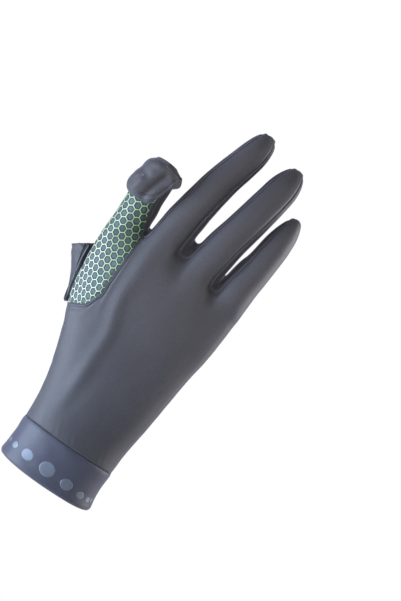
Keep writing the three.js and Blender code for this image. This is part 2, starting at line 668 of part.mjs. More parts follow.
// The reflective dots round the cuff: angle round the wrist from the back of the hand, height and diameter
const DOTS = [
  { angle: -70, z: 9.4, diameter: 3.0 },
  { angle: -53, z: 9.2, diameter: 4.2 },
  { angle: -30.5, z: 9.6, diameter: 7.2 },
  { angle: -4, z: 9.6, diameter: 9.2 },
  { angle: 23, z: 8.5, diameter: 7.2 },
  { angle: 46, z: 7.2, diameter: 4.8 },
  { angle: 60.5, z: 6.6, diameter: 3.6 },
  { angle: 71, z: 6.6, diameter: 2.6 },
];
const DOT_SIDES = 16;

function cuffDot(mesh, { angle, z, diameter }) {
  const [halfWidth, halfDepth] = [29.4, 18.9];
  const foot = (turn, height) => {
    const axis = new THREE.Vector3(CUFF_CENTRE, 0, height);
    const far = new THREE.Vector3(60 * Math.sin(turn), -60 * Math.cos(turn) * (halfDepth / halfWidth), 0);
    return surface(mesh, axis.clone().add(far), axis);
  };
  const centreTurn = radians(angle);
  const pace = Math.hypot(halfWidth * Math.cos(centreTurn), halfDepth * Math.sin(centreTurn));
  const grid = [0.02, 0.55, 1].map((share) =>
    Array.from({ length: DOT_SIDES }, (_, k) => {
      const around = (2 * Math.PI * k) / DOT_SIDES;
      const reach = (share * diameter) / 2;
      return foot(centreTurn + (reach * Math.cos(around)) / pace, z + reach * Math.sin(around));
    }));
  const outer = grid.map((ring) => ring.map((spot) => lifted(spot, LAY_GAP + PRINT)));
  const inner = grid.map((ring) => ring.map((spot) => lifted(spot, LAY_GAP)));
  const middle = foot(centreTurn, z);
  const vertices = [...outer.slice(1).flat(), ...inner.slice(1).flat(), lifted(middle, LAY_GAP + PRINT), lifted(middle, LAY_GAP)];
  const [low, high] = [2 * DOT_SIDES, 4 * DOT_SIDES];
  const triangles = [];
  for (let k = 0; k < DOT_SIDES; k += 1) {
    const m = (k + 1) % DOT_SIDES;
    const [a, b, c, d] = [k, m, DOT_SIDES + m, DOT_SIDES + k];
    triangles.push([high, a, b], [a, d, c], [a, c, b], [high + 1, low + b, low + a]);
    triangles.push([low + a, low + c, low + d], [low + a, low + b, low + c]);
    triangles.push([d, low + d, low + c], [d, low + c, c]);
  }
  return solidGeometry(vertices, triangles);
}

// The grip patches on the palm, each by its four corners as seen from the palm, and its rows and columns
const GRIPS = {
  grip_middle: { corners: [[-27, 121], [-15.5, 121], [-15, 141], [-26.5, 141]], across: 4, along: 6 },
  grip_ring: { corners: [[1.5, 117], [14, 117], [14, 137], [2, 137]], across: 4, along: 6 },
  grip_heel: { corners: [[4, 66], [22, 58], [30.5, 104], [24, 106]], across: 6, along: 10 },
  grip_chevron_inner: { corners: [[-22, 92], [-17, 84], [-9, 90], [-14, 98]], across: 3, along: 3 },
  grip_chevron_outer: { corners: [[10, 101], [15, 94], [21.5, 106], [16, 110]], across: 3, along: 3 },
};

function gripPatch(mesh, { corners, across, along }) {
  const [a, b, c, d] = corners.map(([x, z]) => new THREE.Vector2(x, z));
  const grid = Array.from({ length: along + 1 }, (_, r) =>
    Array.from({ length: across + 1 }, (_unused, q) => {
      const left = a.clone().lerp(d, r / along);
      const spot = left.lerp(b.clone().lerp(c, r / along), q / across);
      const target = new THREE.Vector3(spot.x, 0, spot.y);
      return surface(mesh, target.clone().setY(90), target);
    }));
  grid.forEach((line) => line.reverse()); // seen from the palm, X runs to the left
  return slab(
    grid.map((line) => line.map((spot) => lifted(spot, LAY_GAP + PRINT))),
    grid.map((line) => line.map((spot) => lifted(spot, LAY_GAP))),
  );
}

const glove = new THREE.Group();
const pieces = new THREE.Group();
pieces.position.x = -CUFF_CENTRE;
glove.add(pieces);

function addMesh(name, geometry, colour, roughness) {
  const material = new THREE.MeshStandardMaterial({ color: colour, roughness, metalness: 0 });
  const mesh = new THREE.Mesh(geometry, material);
  mesh.name = name;
  pieces.add(mesh);
  return mesh;
}

addMesh("back_panel", cutPiece("back_panel"), colours.cloth, 0.6);
const palmPanel = addMesh("palm_panel", cutPiece("palm_panel"), colours.cloth, 0.6);
addMesh("index_panel", cutPiece("index_panel"), colours.panel, 0.5);
addMesh("fourchette_index_middle", cutPiece("fourchette_index_middle"), colours.cloth, 0.6);
addMesh("fourchette_middle_ring", cutPiece("fourchette_middle_ring"), colours.cloth, 0.6);
addMesh("fourchette_ring_little", cutPiece("fourchette_ring_little"), colours.cloth, 0.6);
addMesh("thumb_sleeve", cutPiece("thumb_sleeve"), colours.cloth, 0.6);
const cuff = addMesh("cuff_band", cuffBand(), colours.cuff, 0.6);
addMesh("index_cap", indexCap(), colours.cloth, 0.6);
addMesh("thumb_cap", thumbCap(), colours.cloth, 0.6);
DOTS.forEach((dot, i) => addMesh(`cuff_dot_${i + 1}`, cuffDot(cuff, dot), colours.dot, 0.35));
Object.entries(GRIPS).forEach(([name, grip]) => addMesh(name, gripPatch(palmPanel, grip), colours.grip, 0.4));

export default glove;
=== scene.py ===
"""A sun glove for the right hand in thin slate stretch cloth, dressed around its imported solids."""

import math
from collections import defaultdict, namedtuple

import bpy
import numpy as np
from mathutils import Matrix, Vector
from mathutils.bvhtree import BVHTree


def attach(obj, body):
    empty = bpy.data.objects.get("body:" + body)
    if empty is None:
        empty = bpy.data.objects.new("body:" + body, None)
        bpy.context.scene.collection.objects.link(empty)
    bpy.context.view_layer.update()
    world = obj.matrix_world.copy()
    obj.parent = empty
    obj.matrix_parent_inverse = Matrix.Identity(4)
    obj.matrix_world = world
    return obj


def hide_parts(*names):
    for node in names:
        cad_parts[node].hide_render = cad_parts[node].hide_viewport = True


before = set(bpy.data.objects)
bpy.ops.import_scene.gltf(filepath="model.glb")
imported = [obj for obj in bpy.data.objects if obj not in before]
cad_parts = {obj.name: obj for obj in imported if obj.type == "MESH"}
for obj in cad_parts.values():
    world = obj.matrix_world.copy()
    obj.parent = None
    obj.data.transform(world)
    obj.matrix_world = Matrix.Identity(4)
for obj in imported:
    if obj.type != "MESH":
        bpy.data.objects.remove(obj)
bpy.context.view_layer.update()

# Work is in millimetres in the tables' frame, and place() brings it into the frame of the part
MM = 0.001
UV_SCALE = 0.01  # cloth coordinates are kept in decimetres
CUFF_CENTRE = -1.3
CLOTH = 0.8
SMOOTHING = 3
SEAM_INSET = 0.26
SEAM_SINK = (-0.12, 0.06, 0.42, 0.06, -0.12, -0.17, -0.13, -0.07, -0.02)
SEAM_RISE = 2.2  # the cuff's seam runs this much higher on the back of the hand
RISE_FULL_DEPTH = 18
RISE_FADE = 11
CUFF_HEIGHT = 23.85


def place(points):
    """Millimetres in the tables' frame to metres in the part's frame."""
    return (np.asarray(points, float) - [CUFF_CENTRE, 0, 0]) * MM


def table(fields, *rows):
    """Rows of numbers with named columns."""
    row = namedtuple("Row", fields)
    return [row(*numbers) for numbers in rows]


# The hand, one row for each level
HAND = table(
    "z radial ulnar back palm",
    (24.5, -31.0, 27.2, 18.6, 18.6),
    (38, -32.1, 27.8, 17.4, 18.0),
    (52, -34.6, 29.2, 16.2, 17.6),
    (66, -38.9, 30.6, 15.4, 17.4),
    (80, -43.6, 31.6, 14.8, 16.8),
    (92, -48.2, 32.8, 14.3, 16.0),
    (104, -51.4, 34.4, 13.8, 15.2),
    (120, -53.6, 35.7, 13.2, 14.2),
    (136, -54.6, 36.2, 12.0, 12.4),
    (150, -54.8, 36.8, 10.6, 10.8),
)
FULLNESS = 2.15
THENAR_X, THENAR_Z, THENAR_REACH_X, THENAR_REACH_Z, THENAR_SWELL = -31, 76, 15, 24, 7.5

# The fingers, one row for each level
LEVELS = "z x y wide deep turn"
Finger = namedtuple("Finger", "root_z crotch_z web arch tip levels")
FINGERS = [  # index, middle, ring and little
    Finger((139.5, 142.5, 145, 146, 146), (138.5, 146), (0, 5), 0.4, None, table(
        LEVELS,
        (144, -44.3, 0.4, 10.4, 10.2, 4),
        (152, -44.4, -0.2, 10.2, 9.9, -12),
        (160, -45.0, -1.0, 9.8, 9.5, -20),
        (168, -45.1, -1.8, 9.5, 9.1, -20),
        (176, -44.8, -2.6, 9.1, 8.7, -20),
        (184, -44.2, -3.4, 8.8, 8.4, -20),
    )),
    Finger((147.5, 150.5, 152, 151.5, 150), (146, 149.5), (5, 10), -0.8, (-7.4, 6.3, 231.4), table(
        LEVELS,
        (150, -21.4, -0.8, 11.4, 10.4, -4),
        (158, -20.7, -0.7, 10.8, 9.9, -6),
        (168, -19.7, -0.2, 10.4, 9.5, -6),
        (178, -18.4, 0.5, 10.1, 9.1, -4),
        (189, -16.5, 1.5, 9.8, 8.7, -2),
        (200, -14.1, 2.7, 9.4, 8.3, 0),
        (211, -11.1, 4.0, 8.9, 7.7, 1),
        (219.5, -9.0, 5.0, 8.1, 6.9, 1),
        (226, -8.0, 5.7, 6.5, 5.3, 1),
        (229.9, -7.6, 6.1, 4.1, 3.0, 1),
    )),
    Finger((150, 151, 150, 147.5, 144.5), (149.5, 143.5), (10, 10), 0.6, (16.7, 8.2, 224.7), table(
        LEVELS,
        (147, 3.5, 0.6, 11.0, 10.0, -3),
        (157, 4.9, 0.8, 10.7, 9.6, -6),
        (167, 6.6, 1.4, 10.3, 9.2, -6),
        (178, 8.9, 2.4, 10.1, 8.9, -4),
        (189, 11.0, 3.6, 9.9, 8.6, -2),
        (200, 13.2, 5.0, 9.6, 8.2, 0),
        (209, 14.6, 6.2, 9.2, 7.7, 1),
        (215.5, 15.6, 7.0, 8.0, 6.6, 1),
        (220.5, 16.2, 7.6, 5.9, 4.7, 1),
        (223.4, 16.5, 8.0, 3.6, 2.7, 1),
    )),
    Finger((144.5, 145, 144, 142, 139.5), (143.5, 138.5), (10, 0), 3.4, (31.7, 9.5, 201.6), table(
        LEVELS,
        (144, 26.1, 3.4, 10.4, 9.4, 6),
        (153, 27.0, 3.8, 9.9, 8.9, 9),
        (162, 28.3, 4.6, 9.2, 8.4, 10),
        (171, 29.3, 5.6, 8.6, 7.9, 10),
        (180, 30.1, 6.7, 8.3, 7.5, 10),
        (188, 30.8, 7.8, 7.4, 6.7, 10),
        (194.5, 31.3, 8.6, 5.9, 5.2, 10),
        (199.6, 31.6, 9.2, 3.6, 3.0, 10),
    )),
]
THUMB = table(
    "z x y wide deep",
    (94.2, -40.9, 26.0, 11.4, 11.4),
    (100.6, -45.5, 27.2, 11.0, 10.7),
    (107.2, -49.6, 27.9, 10.2, 10.2),
    (113.7, -54.2, 28.5, 9.9, 9.9),
    (121.2, -59.4, 29.2, 9.7, 9.7),
)
THUMB_LEAD = (0.22, 0.48, 0.75)
LEAD_PULL = 0.9
LEAD_UP = (-0.25, 0.35, 0.9)
SLEEVE_FROM, SLEEVE_UP, SLEEVE_ROUND = 60, 8, 4.6

# The honeycomb panel's curved foot, for its five columns, and the palm's wide outer columns
PANEL_FOOT = table("z across", (90.6, -0.978), (91.8, -0.915), (94.6, -0.785), (99, -0.672), (105.5, -0.594))
PANEL_TOP_ACROSS = -0.535
PALM_OUTER = (-0.9, -0.72, -0.5)
PALM_FOOT = (93.5, 97, 99.5, 101.5, 103, 104)
RADIAL_FOOT = 90
EDGE_TURN = math.radians(76)
WIDEST = 0.985

# The hand's arch at the knuckles, and the share of a finger root's place in the rows below it
ARCH_FROM, ARCH_FULL = 60, 146
ROOT_PULL = {1: 0.42, 2: 0.1}

# The cloth between two fingers climbs to the palm, less from level to level
WEB_FADE = (1, 1, 0.6, 0.25)
WEB_MIDDLE = 0.8

# Counts of the cage
FINGER_SIDES = 5
COLUMNS = 4 * FINGER_SIDES
RING = 2 * COLUMNS + 2
ULNAR = COLUMNS
RADIAL = RING - 1
FOOT_ROW = 8
ROWS = 14
THUMB_ROWS = 4
THUMB_ROW = FOOT_ROW - THUMB_ROWS
THUMB_COLUMN = RING - 4
THUMB_SIDES = 2 * (THUMB_ROWS + 3)
STRIPS = ("fourchette_index_middle", "fourchette_middle_ring", "fourchette_ring_little")
PIECES = ("back_panel", "palm_panel", "index_panel", *STRIPS, "thumb_sleeve")

# The faces that close a fingertip, from its last ring's points 0 to 11 and three across its tip
FINGERTIP = {
    "back_panel": ((0, 1, 12, 11), (1, 2, 13, 12), (2, 3, 14, 13), (3, 4, 5, 14)),
    "palm_panel": ((11, 12, 9, 10), (12, 13, 8, 9), (13, 14, 7, 8), (14, 5, 6, 7)),
}


def mix(a, b, share):
    return a + (b - a) * share


def smooth(value, low, high):
    t = np.clip((value - low) / (high - low), 0, 1)
    return t * t * (3 - 2 * t)


def unit(vector):
    vector = np.asarray(vector, float)
    return vector / np.maximum(np.linalg.norm(vector, axis=-1, keepdims=True), 1e-9)


def hermite(a, b, slope_a, slope_b, t):
    return (
        (2 * t**3 - 3 * t**2 + 1) * a
        + (t**3 - 2 * t**2 + t) * slope_a
        + (3 * t**2 - 2 * t**3) * b
        + (t**3 - t**2) * slope_b
    )


def read(rows, level):
    """The columns of a table at a level, on smooth curves through its rows."""
    last = len(rows) - 1
    i = 0
    while i < last - 1 and level > rows[i + 1].z:
        i += 1
    before, a, b, after = (np.array(rows[min(max(k, 0), last)], float) for k in range(i - 1, i + 3))
    span = b[0] - a[0]
    t = min(1.0, max(0.0, (level - a[0]) / span))
    slope_a, slope_b = ((q - p) / (q - p)[0] * span for p, q in ((before, b), (a, after)))
    return hermite(a, b, slope_a, slope_b, t)[1:]


def foot_across(column, is_palm):
    """Place across the hand at the panel's foot: first as given, then evenly on."""
    given = PALM_OUTER if is_palm else [foot.across for foot in PANEL_FOOT]
    if column < len(given):
        return given[column]
    share = (column - len(given) + 1) / (COLUMNS - len(given))
    return math.sin(mix(math.asin(given[-1]), EDGE_TURN, share))


def ring_point(level, tangent, spoke):
    """A point of a finger's ring. Spokes 0 to 4 are the back, 5 the ulnar side, 6 to 10 the palm."""
    angle = math.radians(-60 + 30 * spoke + level.turn)
    across = unit(np.array([1.0, 0, 0]) - tangent * tangent[0])
    backward = unit(np.cross(across, tangent))
    return middle(level) + across * level.wide * math.sin(angle) + backward * level.deep * math.cos(angle)


def middle(level):
    return np.array([level.x, level.y, level.z])


def tangent_at(levels, i):
    return unit(middle(levels[min(len(levels) - 1, i + 1)]) - middle(levels[max(0, i - 1)]))


def web_rise(finger, i, spoke):
    if spoke < 5 or i >= len(WEB_FADE):
        return 0
    radial, ulnar = finger.web
    sides = {5: ulnar * WEB_MIDDLE, 11: radial * WEB_MIDDLE}
    return WEB_FADE[i] * sides.get(spoke, mix(ulnar, radial, (spoke - 6) / 4))


def root_spoke(n):
    """The finger and the spoke that a point of the hand's ring belongs to."""
    if n == ULNAR:
        return 3, 5
    if n == RADIAL:
        return 0, 11
    column = n if n < ULNAR else RADIAL - 1 - n
    side = column % FINGER_SIDES
    return column // FINGER_SIDES, side if n < ULNAR else 10 - side


def root_point(number, spoke):
    finger = FINGERS[number]
    point = ring_point(finger.levels[0], np.array([0, 0, 1.0]), spoke)
    if spoke in (5, 11):
        point[2] = finger.crotch_z[1 if spoke == 5 else 0]
    else:
        point[2] = finger.root_z[min(spoke, 10 - spoke)]
    return point + tangent_at(finger.levels, 0) * web_rise(finger, 0, spoke)


def section_point(level, across, is_palm):
    radial, ulnar, back, palm = read(HAND, level)
    x = mix(radial, ulnar, (across + 1) / 2)
    y = (palm if is_palm else back) * (1 - abs(across) ** FULLNESS) ** (1 / FULLNESS)
    if is_palm:
        reach = ((x - THENAR_X) / THENAR_REACH_X) ** 2 + ((level - THENAR_Z) / THENAR_REACH_Z) ** 2
        y += THENAR_SWELL * math.exp(-reach) * (1 - across**8)
    return np.array([x, y if is_palm else -y, level])


def hand_point(row, n):
    """A point of the hand's cage, at a row from the wrist seam to the finger roots."""
    is_side = n in (ULNAR, RADIAL)
    is_palm = ULNAR < n < RADIAL
    column = min(max(n if n < ULNAR else RADIAL - 1 - n, 0), COLUMNS - 1)
    top = root_point(*root_spoke(n))
    if row == ROWS:
        return top
    if n == RADIAL:
        foot_z = RADIAL_FOOT
    elif is_palm or column >= len(PANEL_FOOT):
        foot_z = PALM_FOOT[min(column, len(PALM_FOOT) - 1)]
    else:
        foot_z = PANEL_FOOT[column].z
    left, right = HAND[-1].radial, HAND[-1].ulnar
    upper = min(WIDEST, max(-WIDEST, 2 * (top[0] - left) / (right - left) - 1))
    if n == len(PANEL_FOOT) - 1:
        upper = PANEL_TOP_ACROSS
    if row <= FOOT_ROW:
        share = row / FOOT_ROW
        level = mix(HAND[0].z, foot_z, share)
        even = math.sin(mix(-EDGE_TURN, EDGE_TURN, column / (COLUMNS - 1)))
        across = mix(even, foot_across(column, is_palm), share)
    else:
        share = (row - FOOT_ROW) / (ROWS - FOOT_ROW)
        level = mix(foot_z, top[2], share)
        across = mix(foot_across(column, is_palm), upper, share)
    if is_side:
        across = 1 if n == ULNAR else -1
    point = section_point(level, across, is_palm)
    roots = [finger.levels[0].x for finger in FINGERS]
    arches = [finger.arch for finger in FINGERS]
    point[1] += smooth(level, ARCH_FROM, ARCH_FULL) * np.interp(point[0], roots, arches)
    near_root = ROOT_PULL.get(ROWS - row, 0)
    point[1] = mix(point[1], top[1], near_root)
    if is_side:
        point[0] = mix(point[0], top[0], near_root)
    return point


class Cage:
    """The four-sided faces that the cut pieces share, each with its piece and its cloth coordinates."""

    def __init__(self):
        self.points = []
        self.faces = []
        self.pieces = []
        self.weave = []

    def point(self, where):
        self.points.append(np.asarray(where, float))
        return len(self.points) - 1

    def face(self, piece, corners, weave):
        self.faces.append(list(corners))
        self.pieces.append(PIECES.index(piece))
        self.weave.append(weave)

    def band(self, piece_of, rings, weaves):
        """Faces between two rings, whose weaves have one entry more, to close them."""
        (lower, upper), (low, high) = rings, weaves
        count = len(lower)
        for i in range(count):
            piece = piece_of(i)
            if piece is None:
                continue
            j = (i + 1) % count
            weave = [low[i], low[i + 1], high[i + 1], high[i]]
            if i == count - 1:  # one turn back, so that the radial side joins on to the back
                turns = [row[-1][0] - row[0][0] for row in (low, low, high, high)]
                weave = [(u - turn, v) for (u, v), turn in zip(weave, turns)]
            self.face(piece, (lower[i], lower[j], upper[j], upper[i]), weave)

    def weave_round(self, ring, middle, offset=0):
        """Cloth coordinates round a ring: millimetres from its middle point, and the height."""
        spots = [self.points[i] for i in ring]
        around = [0.0]
        for a, b in zip(spots, spots[1:] + spots[:1]):
            around.append(around[-1] + math.hypot(b[0] - a[0], b[1] - a[1]))
        return [(a - around[middle] + offset, spot[2]) for a, spot in zip(around, spots + spots[:1])]


def thumb_frame(i):
    tangent = tangent_at(THUMB, i)
    front = np.array([-1, -0.15, 0])
    front = unit(front - tangent * tangent.dot(front))
    return tangent, front, np.cross(tangent, front)


def thumb_point(i, spoke):
    _, front, web = thumb_frame(i)
    angle = 2 * math.pi * (spoke - 3 - THUMB_ROWS / 2) / THUMB_SIDES
    level = THUMB[i]
    return middle(level) + front * level.wide * math.cos(angle) + web * level.deep * math.sin(angle)


def lead_point(start, t, spoke):
    """Up to the thumb's first level a spoke leaves the hand upwards in a curve."""
    end = thumb_point(0, spoke)
    reach = np.linalg.norm(end - start)
    straight = (end - start) / reach
    up_share = min(1, max(0, straight[2])) ** 2
    leave = mix(straight, np.array(LEAD_UP), up_share) * reach * LEAD_PULL
    arrive = mix(straight, thumb_frame(0)[0], 0.3 + 0.7 * up_share) * reach * LEAD_PULL
    return hermite(start, end, leave, arrive, t)


def hand_piece(row, n):
    if THUMB_ROW <= row < FOOT_ROW and THUMB_COLUMN <= n < RADIAL:
        return None
    if row >= FOOT_ROW and (n < len(PANEL_FOOT) - 1 or n == RADIAL):
        return "index_panel"
    return "back_panel" if n < ULNAR or n == RADIAL else "palm_panel"


def finger_piece(number, spoke):
    if spoke in (4, 5) and number < 3:
        return STRIPS[number]
    if spoke in (10, 11) and number > 0:
        return STRIPS[number - 1]
    if 5 <= spoke < 11:
        return "palm_panel"
    return "index_panel" if number == 0 else "back_panel"


def build_cage():
    cage = Cage()
    hand = [[cage.point(hand_point(row, n)) for n in range(RING)] for row in range(ROWS + 1)]
    weave = [cage.weave_round(ring, COLUMNS // 2) for ring in hand]
    for row in range(ROWS):
        cage.band(lambda n: hand_piece(row, n), hand[row:row + 2], weave[row:row + 2])

    rings_of = []
    for number, finger in enumerate(FINGERS):
        first = number * FINGER_SIDES
        back = hand[ROWS][first:first + FINGER_SIDES]
        palm = hand[ROWS][RADIAL - first - FINGER_SIDES:RADIAL - first]
        ulnar = hand[ROWS][ULNAR] if number == 3 else cage.point(root_point(number, 5))
        radial = hand[ROWS][RADIAL] if number == 0 else cage.point(root_point(number, 11))
        rings = [[*back, ulnar, *palm, radial]]
        for i, level in enumerate(finger.levels[1:], 1):
            up = tangent_at(finger.levels, i)
            ring = [ring_point(level, up, s) + up * web_rise(finger, i, s) for s in range(12)]
            rings.append([cage.point(spot) for spot in ring])
        rings_of.append(rings)
        weaves = [cage.weave_round(ring, 2, weave[ROWS][first + 2][0]) for ring in rings]
        for i in range(len(rings) - 1):
            cage.band(lambda spoke: finger_piece(number, spoke), rings[i:i + 2], weaves[i:i + 2])
        if finger.tip is None:
            continue
        across = [finger.tip + np.array([s * level.wide, 0, -2 * s * s]) for s in (-0.5, 0, 0.5)]
        end = [*rings[-1], *(cage.point(spot) for spot in across)]
        for piece, quads in FINGERTIP.items():
            for quad in quads:
                corners = [end[k] for k in quad]
                cage.face(piece, corners, [cage.points[i][::2] for i in corners])

    for number, strip in enumerate(STRIPS):
        left, right = rings_of[number][0], rings_of[number + 1][0]
        for corners in ((left[4], right[0], right[11], left[5]), (left[5], right[11], right[10], left[6])):
            cage.face(strip, corners, [cage.points[i][:2] for i in corners])

    edge = [hand[THUMB_ROW][THUMB_COLUMN + k] for k in range(4)]
    edge += [hand[THUMB_ROW + k][RADIAL] for k in range(1, THUMB_ROWS + 1)]
    edge += [hand[FOOT_ROW][THUMB_COLUMN + k] for k in (2, 1, 0)]
    edge += [hand[THUMB_ROW + k][THUMB_COLUMN] for k in range(THUMB_ROWS - 1, 0, -1)]
    spokes = range(THUMB_SIDES)
    leads = [[lead_point(cage.points[edge[s]], t, s) for s in spokes] for t in THUMB_LEAD]
    levels = [[thumb_point(i, s) for s in spokes] for i in range(len(THUMB))]
    rings = [edge] + [[cage.point(spot) for spot in ring] for ring in leads + levels]
    heights = [SLEEVE_FROM + SLEEVE_UP * k for k in range(len(rings))]
    weaves = [[(SLEEVE_ROUND * s, height) for s in range(THUMB_SIDES + 1)] for height in heights]
    for k in range(len(rings) - 1):
        cage.band(lambda _: "thumb_sleeve", rings[k:k + 2], weaves[k:k + 2])
    return cage


def linked(name, data):
    """A new object of the scene."""
    made = bpy.data.objects.new(name, data)
    bpy.context.scene.collection.objects.link(made)
    return made


def object_from(name, points, faces=(), weave=None, edges=(), smooth_shading=True):
    """A new object of points in metres in the part's frame."""
    mesh = bpy.data.meshes.new(name)
    mesh.from_pydata([tuple(p) for p in points], edges, [tuple(int(i) for i in f) for f in faces])
    if weave is not None:
        flat = np.asarray(weave, np.float32).reshape(-1, 2) * UV_SCALE
        mesh.uv_layers.new(name="weave").data.foreach_set("uv", flat.ravel())
    if smooth_shading:
        mesh.shade_smooth()
    return linked(name, mesh)


def evaluated_mesh(piece, name):
    graph = bpy.context.evaluated_depsgraph_get()
    graph.update()
    mesh = bpy.data.meshes.new_from_object(piece.evaluated_get(graph), depsgraph=graph)
    mesh.name = name
    return mesh


def array_of(collection, field, width, kind=np.float64):
    values = np.empty(len(collection) * width, kind)
    collection.foreach_get(field, values)
    return values.reshape(-1, width) if width > 1 else values


def edges_of(faces):
    """The edges of four-sided faces, in the faces' own direction."""
    faces = np.asarray(faces)
    after = np.roll(faces, -1, axis=1)
    return set(zip(faces.ravel().tolist(), after.ravel().tolist()))


def open_edges(edges):
    """The edges that lie on no other face."""
    return sorted(edge for edge in edges if edge[::-1] not in edges)


class Skin:
    """The smooth outer surface of the whole glove."""

    def __init__(self, cage):
        points = np.array(cage.points)
        given = points.copy()
        for _ in range(3):  # the smoothed surface is drawn back out to the cage's own points
            fine = self.smoothed(cage, points, 2)
            points += given - array_of(fine.vertices, "co", 3)[: len(points)] / MM
        fine = self.smoothed(cage, points, SMOOTHING)
        self.points = array_of(fine.vertices, "co", 3) / MM
        self.faces = array_of(fine.loops, "vertex_index", 1, np.int32).reshape(-1, 4)
        self.weave = array_of(fine.uv_layers["weave"].data, "uv", 2).reshape(-1, 4, 2) / UV_SCALE
        self.piece = array_of(fine.attributes["piece"].data, "value", 1, np.int32)
        self.all_edges = edges_of(self.faces)
        self.find_normals()

    @staticmethod
    def smoothed(cage, points, level):
        piece = object_from("cage", points * MM, cage.faces, cage.weave)
        piece.data.attributes.new("piece", "INT", "FACE").data.foreach_set("value", cage.pieces)
        modifier = piece.modifiers.new("smooth", "SUBSURF")
        modifier.levels = modifier.render_levels = level
        mesh = evaluated_mesh(piece, "smoothed")
        bpy.data.objects.remove(piece)
        return mesh

    def find_normals(self):
        a, b, c, d = (self.points[self.faces[:, k]] for k in range(4))
        cross = np.cross(c - a, d - b)
        normals = np.zeros_like(self.points)
        for k in range(4):
            np.add.at(normals, self.faces[:, k], cross)
        self.normals = unit(normals)

    def edges(self, name):
        return edges_of(self.faces[self.piece == PIECES.index(name)])

    def seams(self, first, second):
        """The paths along which two pieces meet, in the first one's direction."""
        theirs = self.edges(second)
        return chains(sorted(edge for edge in self.edges(first) if edge[::-1] in theirs))


def chains(edges):
    """Joins directed edges into paths. A closed path ends on its first point."""
    after = defaultdict(list)
    arrivals = defaultdict(int)
    for a, b in edges:
        after[a].append(b)
        arrivals[b] += 1
    paths = []
    for start in sorted(a for a in after if arrivals[a] == 0) + sorted(after):
        while after[start]:
            path = [start]
            while after[path[-1]]:
                path.append(after[path[-1]].pop())
                if path[-1] == start:
                    break
            paths.append(path)
    return paths


def risen(points):
    """Points near the cuff's seam, lifted on the back of the hand."""
    share = np.clip(-points[:, 1] / RISE_FULL_DEPTH, 0, 1) * ridge(points[:, 2] - HAND[0].z, RISE_FADE)
    return points + np.outer(share, [0, 0, SEAM_RISE])


def ridge(off, width):
    return np.exp(-((off / width) ** 2))


def window(value, start, full, fading, end):
    return smooth(value, start, full) * smooth(-value, -end, -fading)


def soft_folds(skin):
    """Broad unevenness of thin cloth on a hand, and the folds where it is drawn in."""
    p, n = skin.points, skin.normals
    x, y, z = p.T
    on_back = smooth(-n[:, 1], 0.1, 0.6)
    on_palm = smooth(n[:, 1], 0.1, 0.6)
    height = 0.12 * np.sin(x * 0.23 + z * 0.11) * np.sin(z * 0.09 - x * 0.05)
    height += 0.05 * np.sin(x * 0.61 - z * 0.37 + 1.3) * np.sin(z * 0.21 + y * 0.3)
    # tendons of the back, faintly seen below the knuckles
    for at, lean in ((-16, -0.10), (1, 0.03)):
        height += on_back * 0.16 * ridge(x - at - lean * (z - 110), 5) * window(z, 84, 118, 130, 150)
    # the edge where the back turns down towards the thumb
    height += on_back * 1.1 * ridge(x + 17.8 + 6.6 * smooth(z, 84, 116), 4.4) * window(z, 30, 66, 136, 158)
    # palm creases, the crumple beside the thumb, and the cloth over the finger joints
    palm = 0.45 * ridge(z - 112 - 0.30 * (x + 10), 1.5) * window(x, -46, -34, 18, 30)
    palm += 0.35 * ridge(z - 128 + 0.10 * x, 1.4) * window(x, -30, -16, 24, 34)
    palm += 0.6 * ridge(x + 22 + 0.0042 * (z - 66) ** 2, 1.8) * window(z, 38, 56, 92, 108)
    for at in (172, 196):
        palm += 0.22 * ridge(z - at - 0.1 * x, 1.3) * smooth(x, -34, -26)
    height -= on_palm * palm
    # gathers above the cuff seam
    above = np.maximum(z - HAND[0].z, 0) / 3
    gather = above * np.exp(1 - above)
    height += gather * 0.06 * np.sin(x * 1.5 + z * 0.5 + 0.7 * np.sin(y * 0.4)) * np.sin(x * 0.31 + 2)
    # creases of the thumb's sleeve near its open end
    on_thumb = smooth(z, 106, 115) * smooth(-x, 52, 55) * smooth(y, 12, 17)
    height += on_thumb * 0.28 * np.sin((z + 0.35 * x) * 1.5 + 0.4 * np.sin(y))
    skin.points = risen(p + n * height[:, None])
    skin.find_normals()


def ring_distance(count, faces, starts):
    """How many faces each point lies from the starting points."""
    distance = np.full(count, 99)
    distance[starts] = 0
    for step in range(1, len(SEAM_SINK)):
        touched = np.unique(faces[(distance[faces] == step - 1).any(axis=1)])
        distance[touched] = np.minimum(distance[touched], step)
    return distance


PANEL_RADIUS = 9.5
PANEL_DEPTH = 0.4


def panel_weave(points):
    """Cloth coordinates that run even across the back and round the outer side."""
    x, y, z = points.T
    off = x - np.interp(z, [row.z for row in HAND], [row.radial for row in HAND]) - PANEL_RADIUS
    around = PANEL_RADIUS * np.arctan2(off, PANEL_DEPTH - y)
    return np.stack([np.where(off > 0, off, around), z], axis=1)


def shell(name, outer, inner, faces, weave, rim):
    """A closed wall of cloth between two like layers of points."""
    count = len(outer)
    outside = [list(face) for face in faces]
    inside = [[i + count for i in face[::-1]] for face in outside]
    walls = [[b, a, a + count, b + count] for a, b in rim]
    weave = [*weave, *(corners[::-1] for corners in weave), *[np.zeros((4, 2))] * len(rim)]
    return object_from(name, place(np.vstack([outer, inner])), outside + inside + walls, weave)


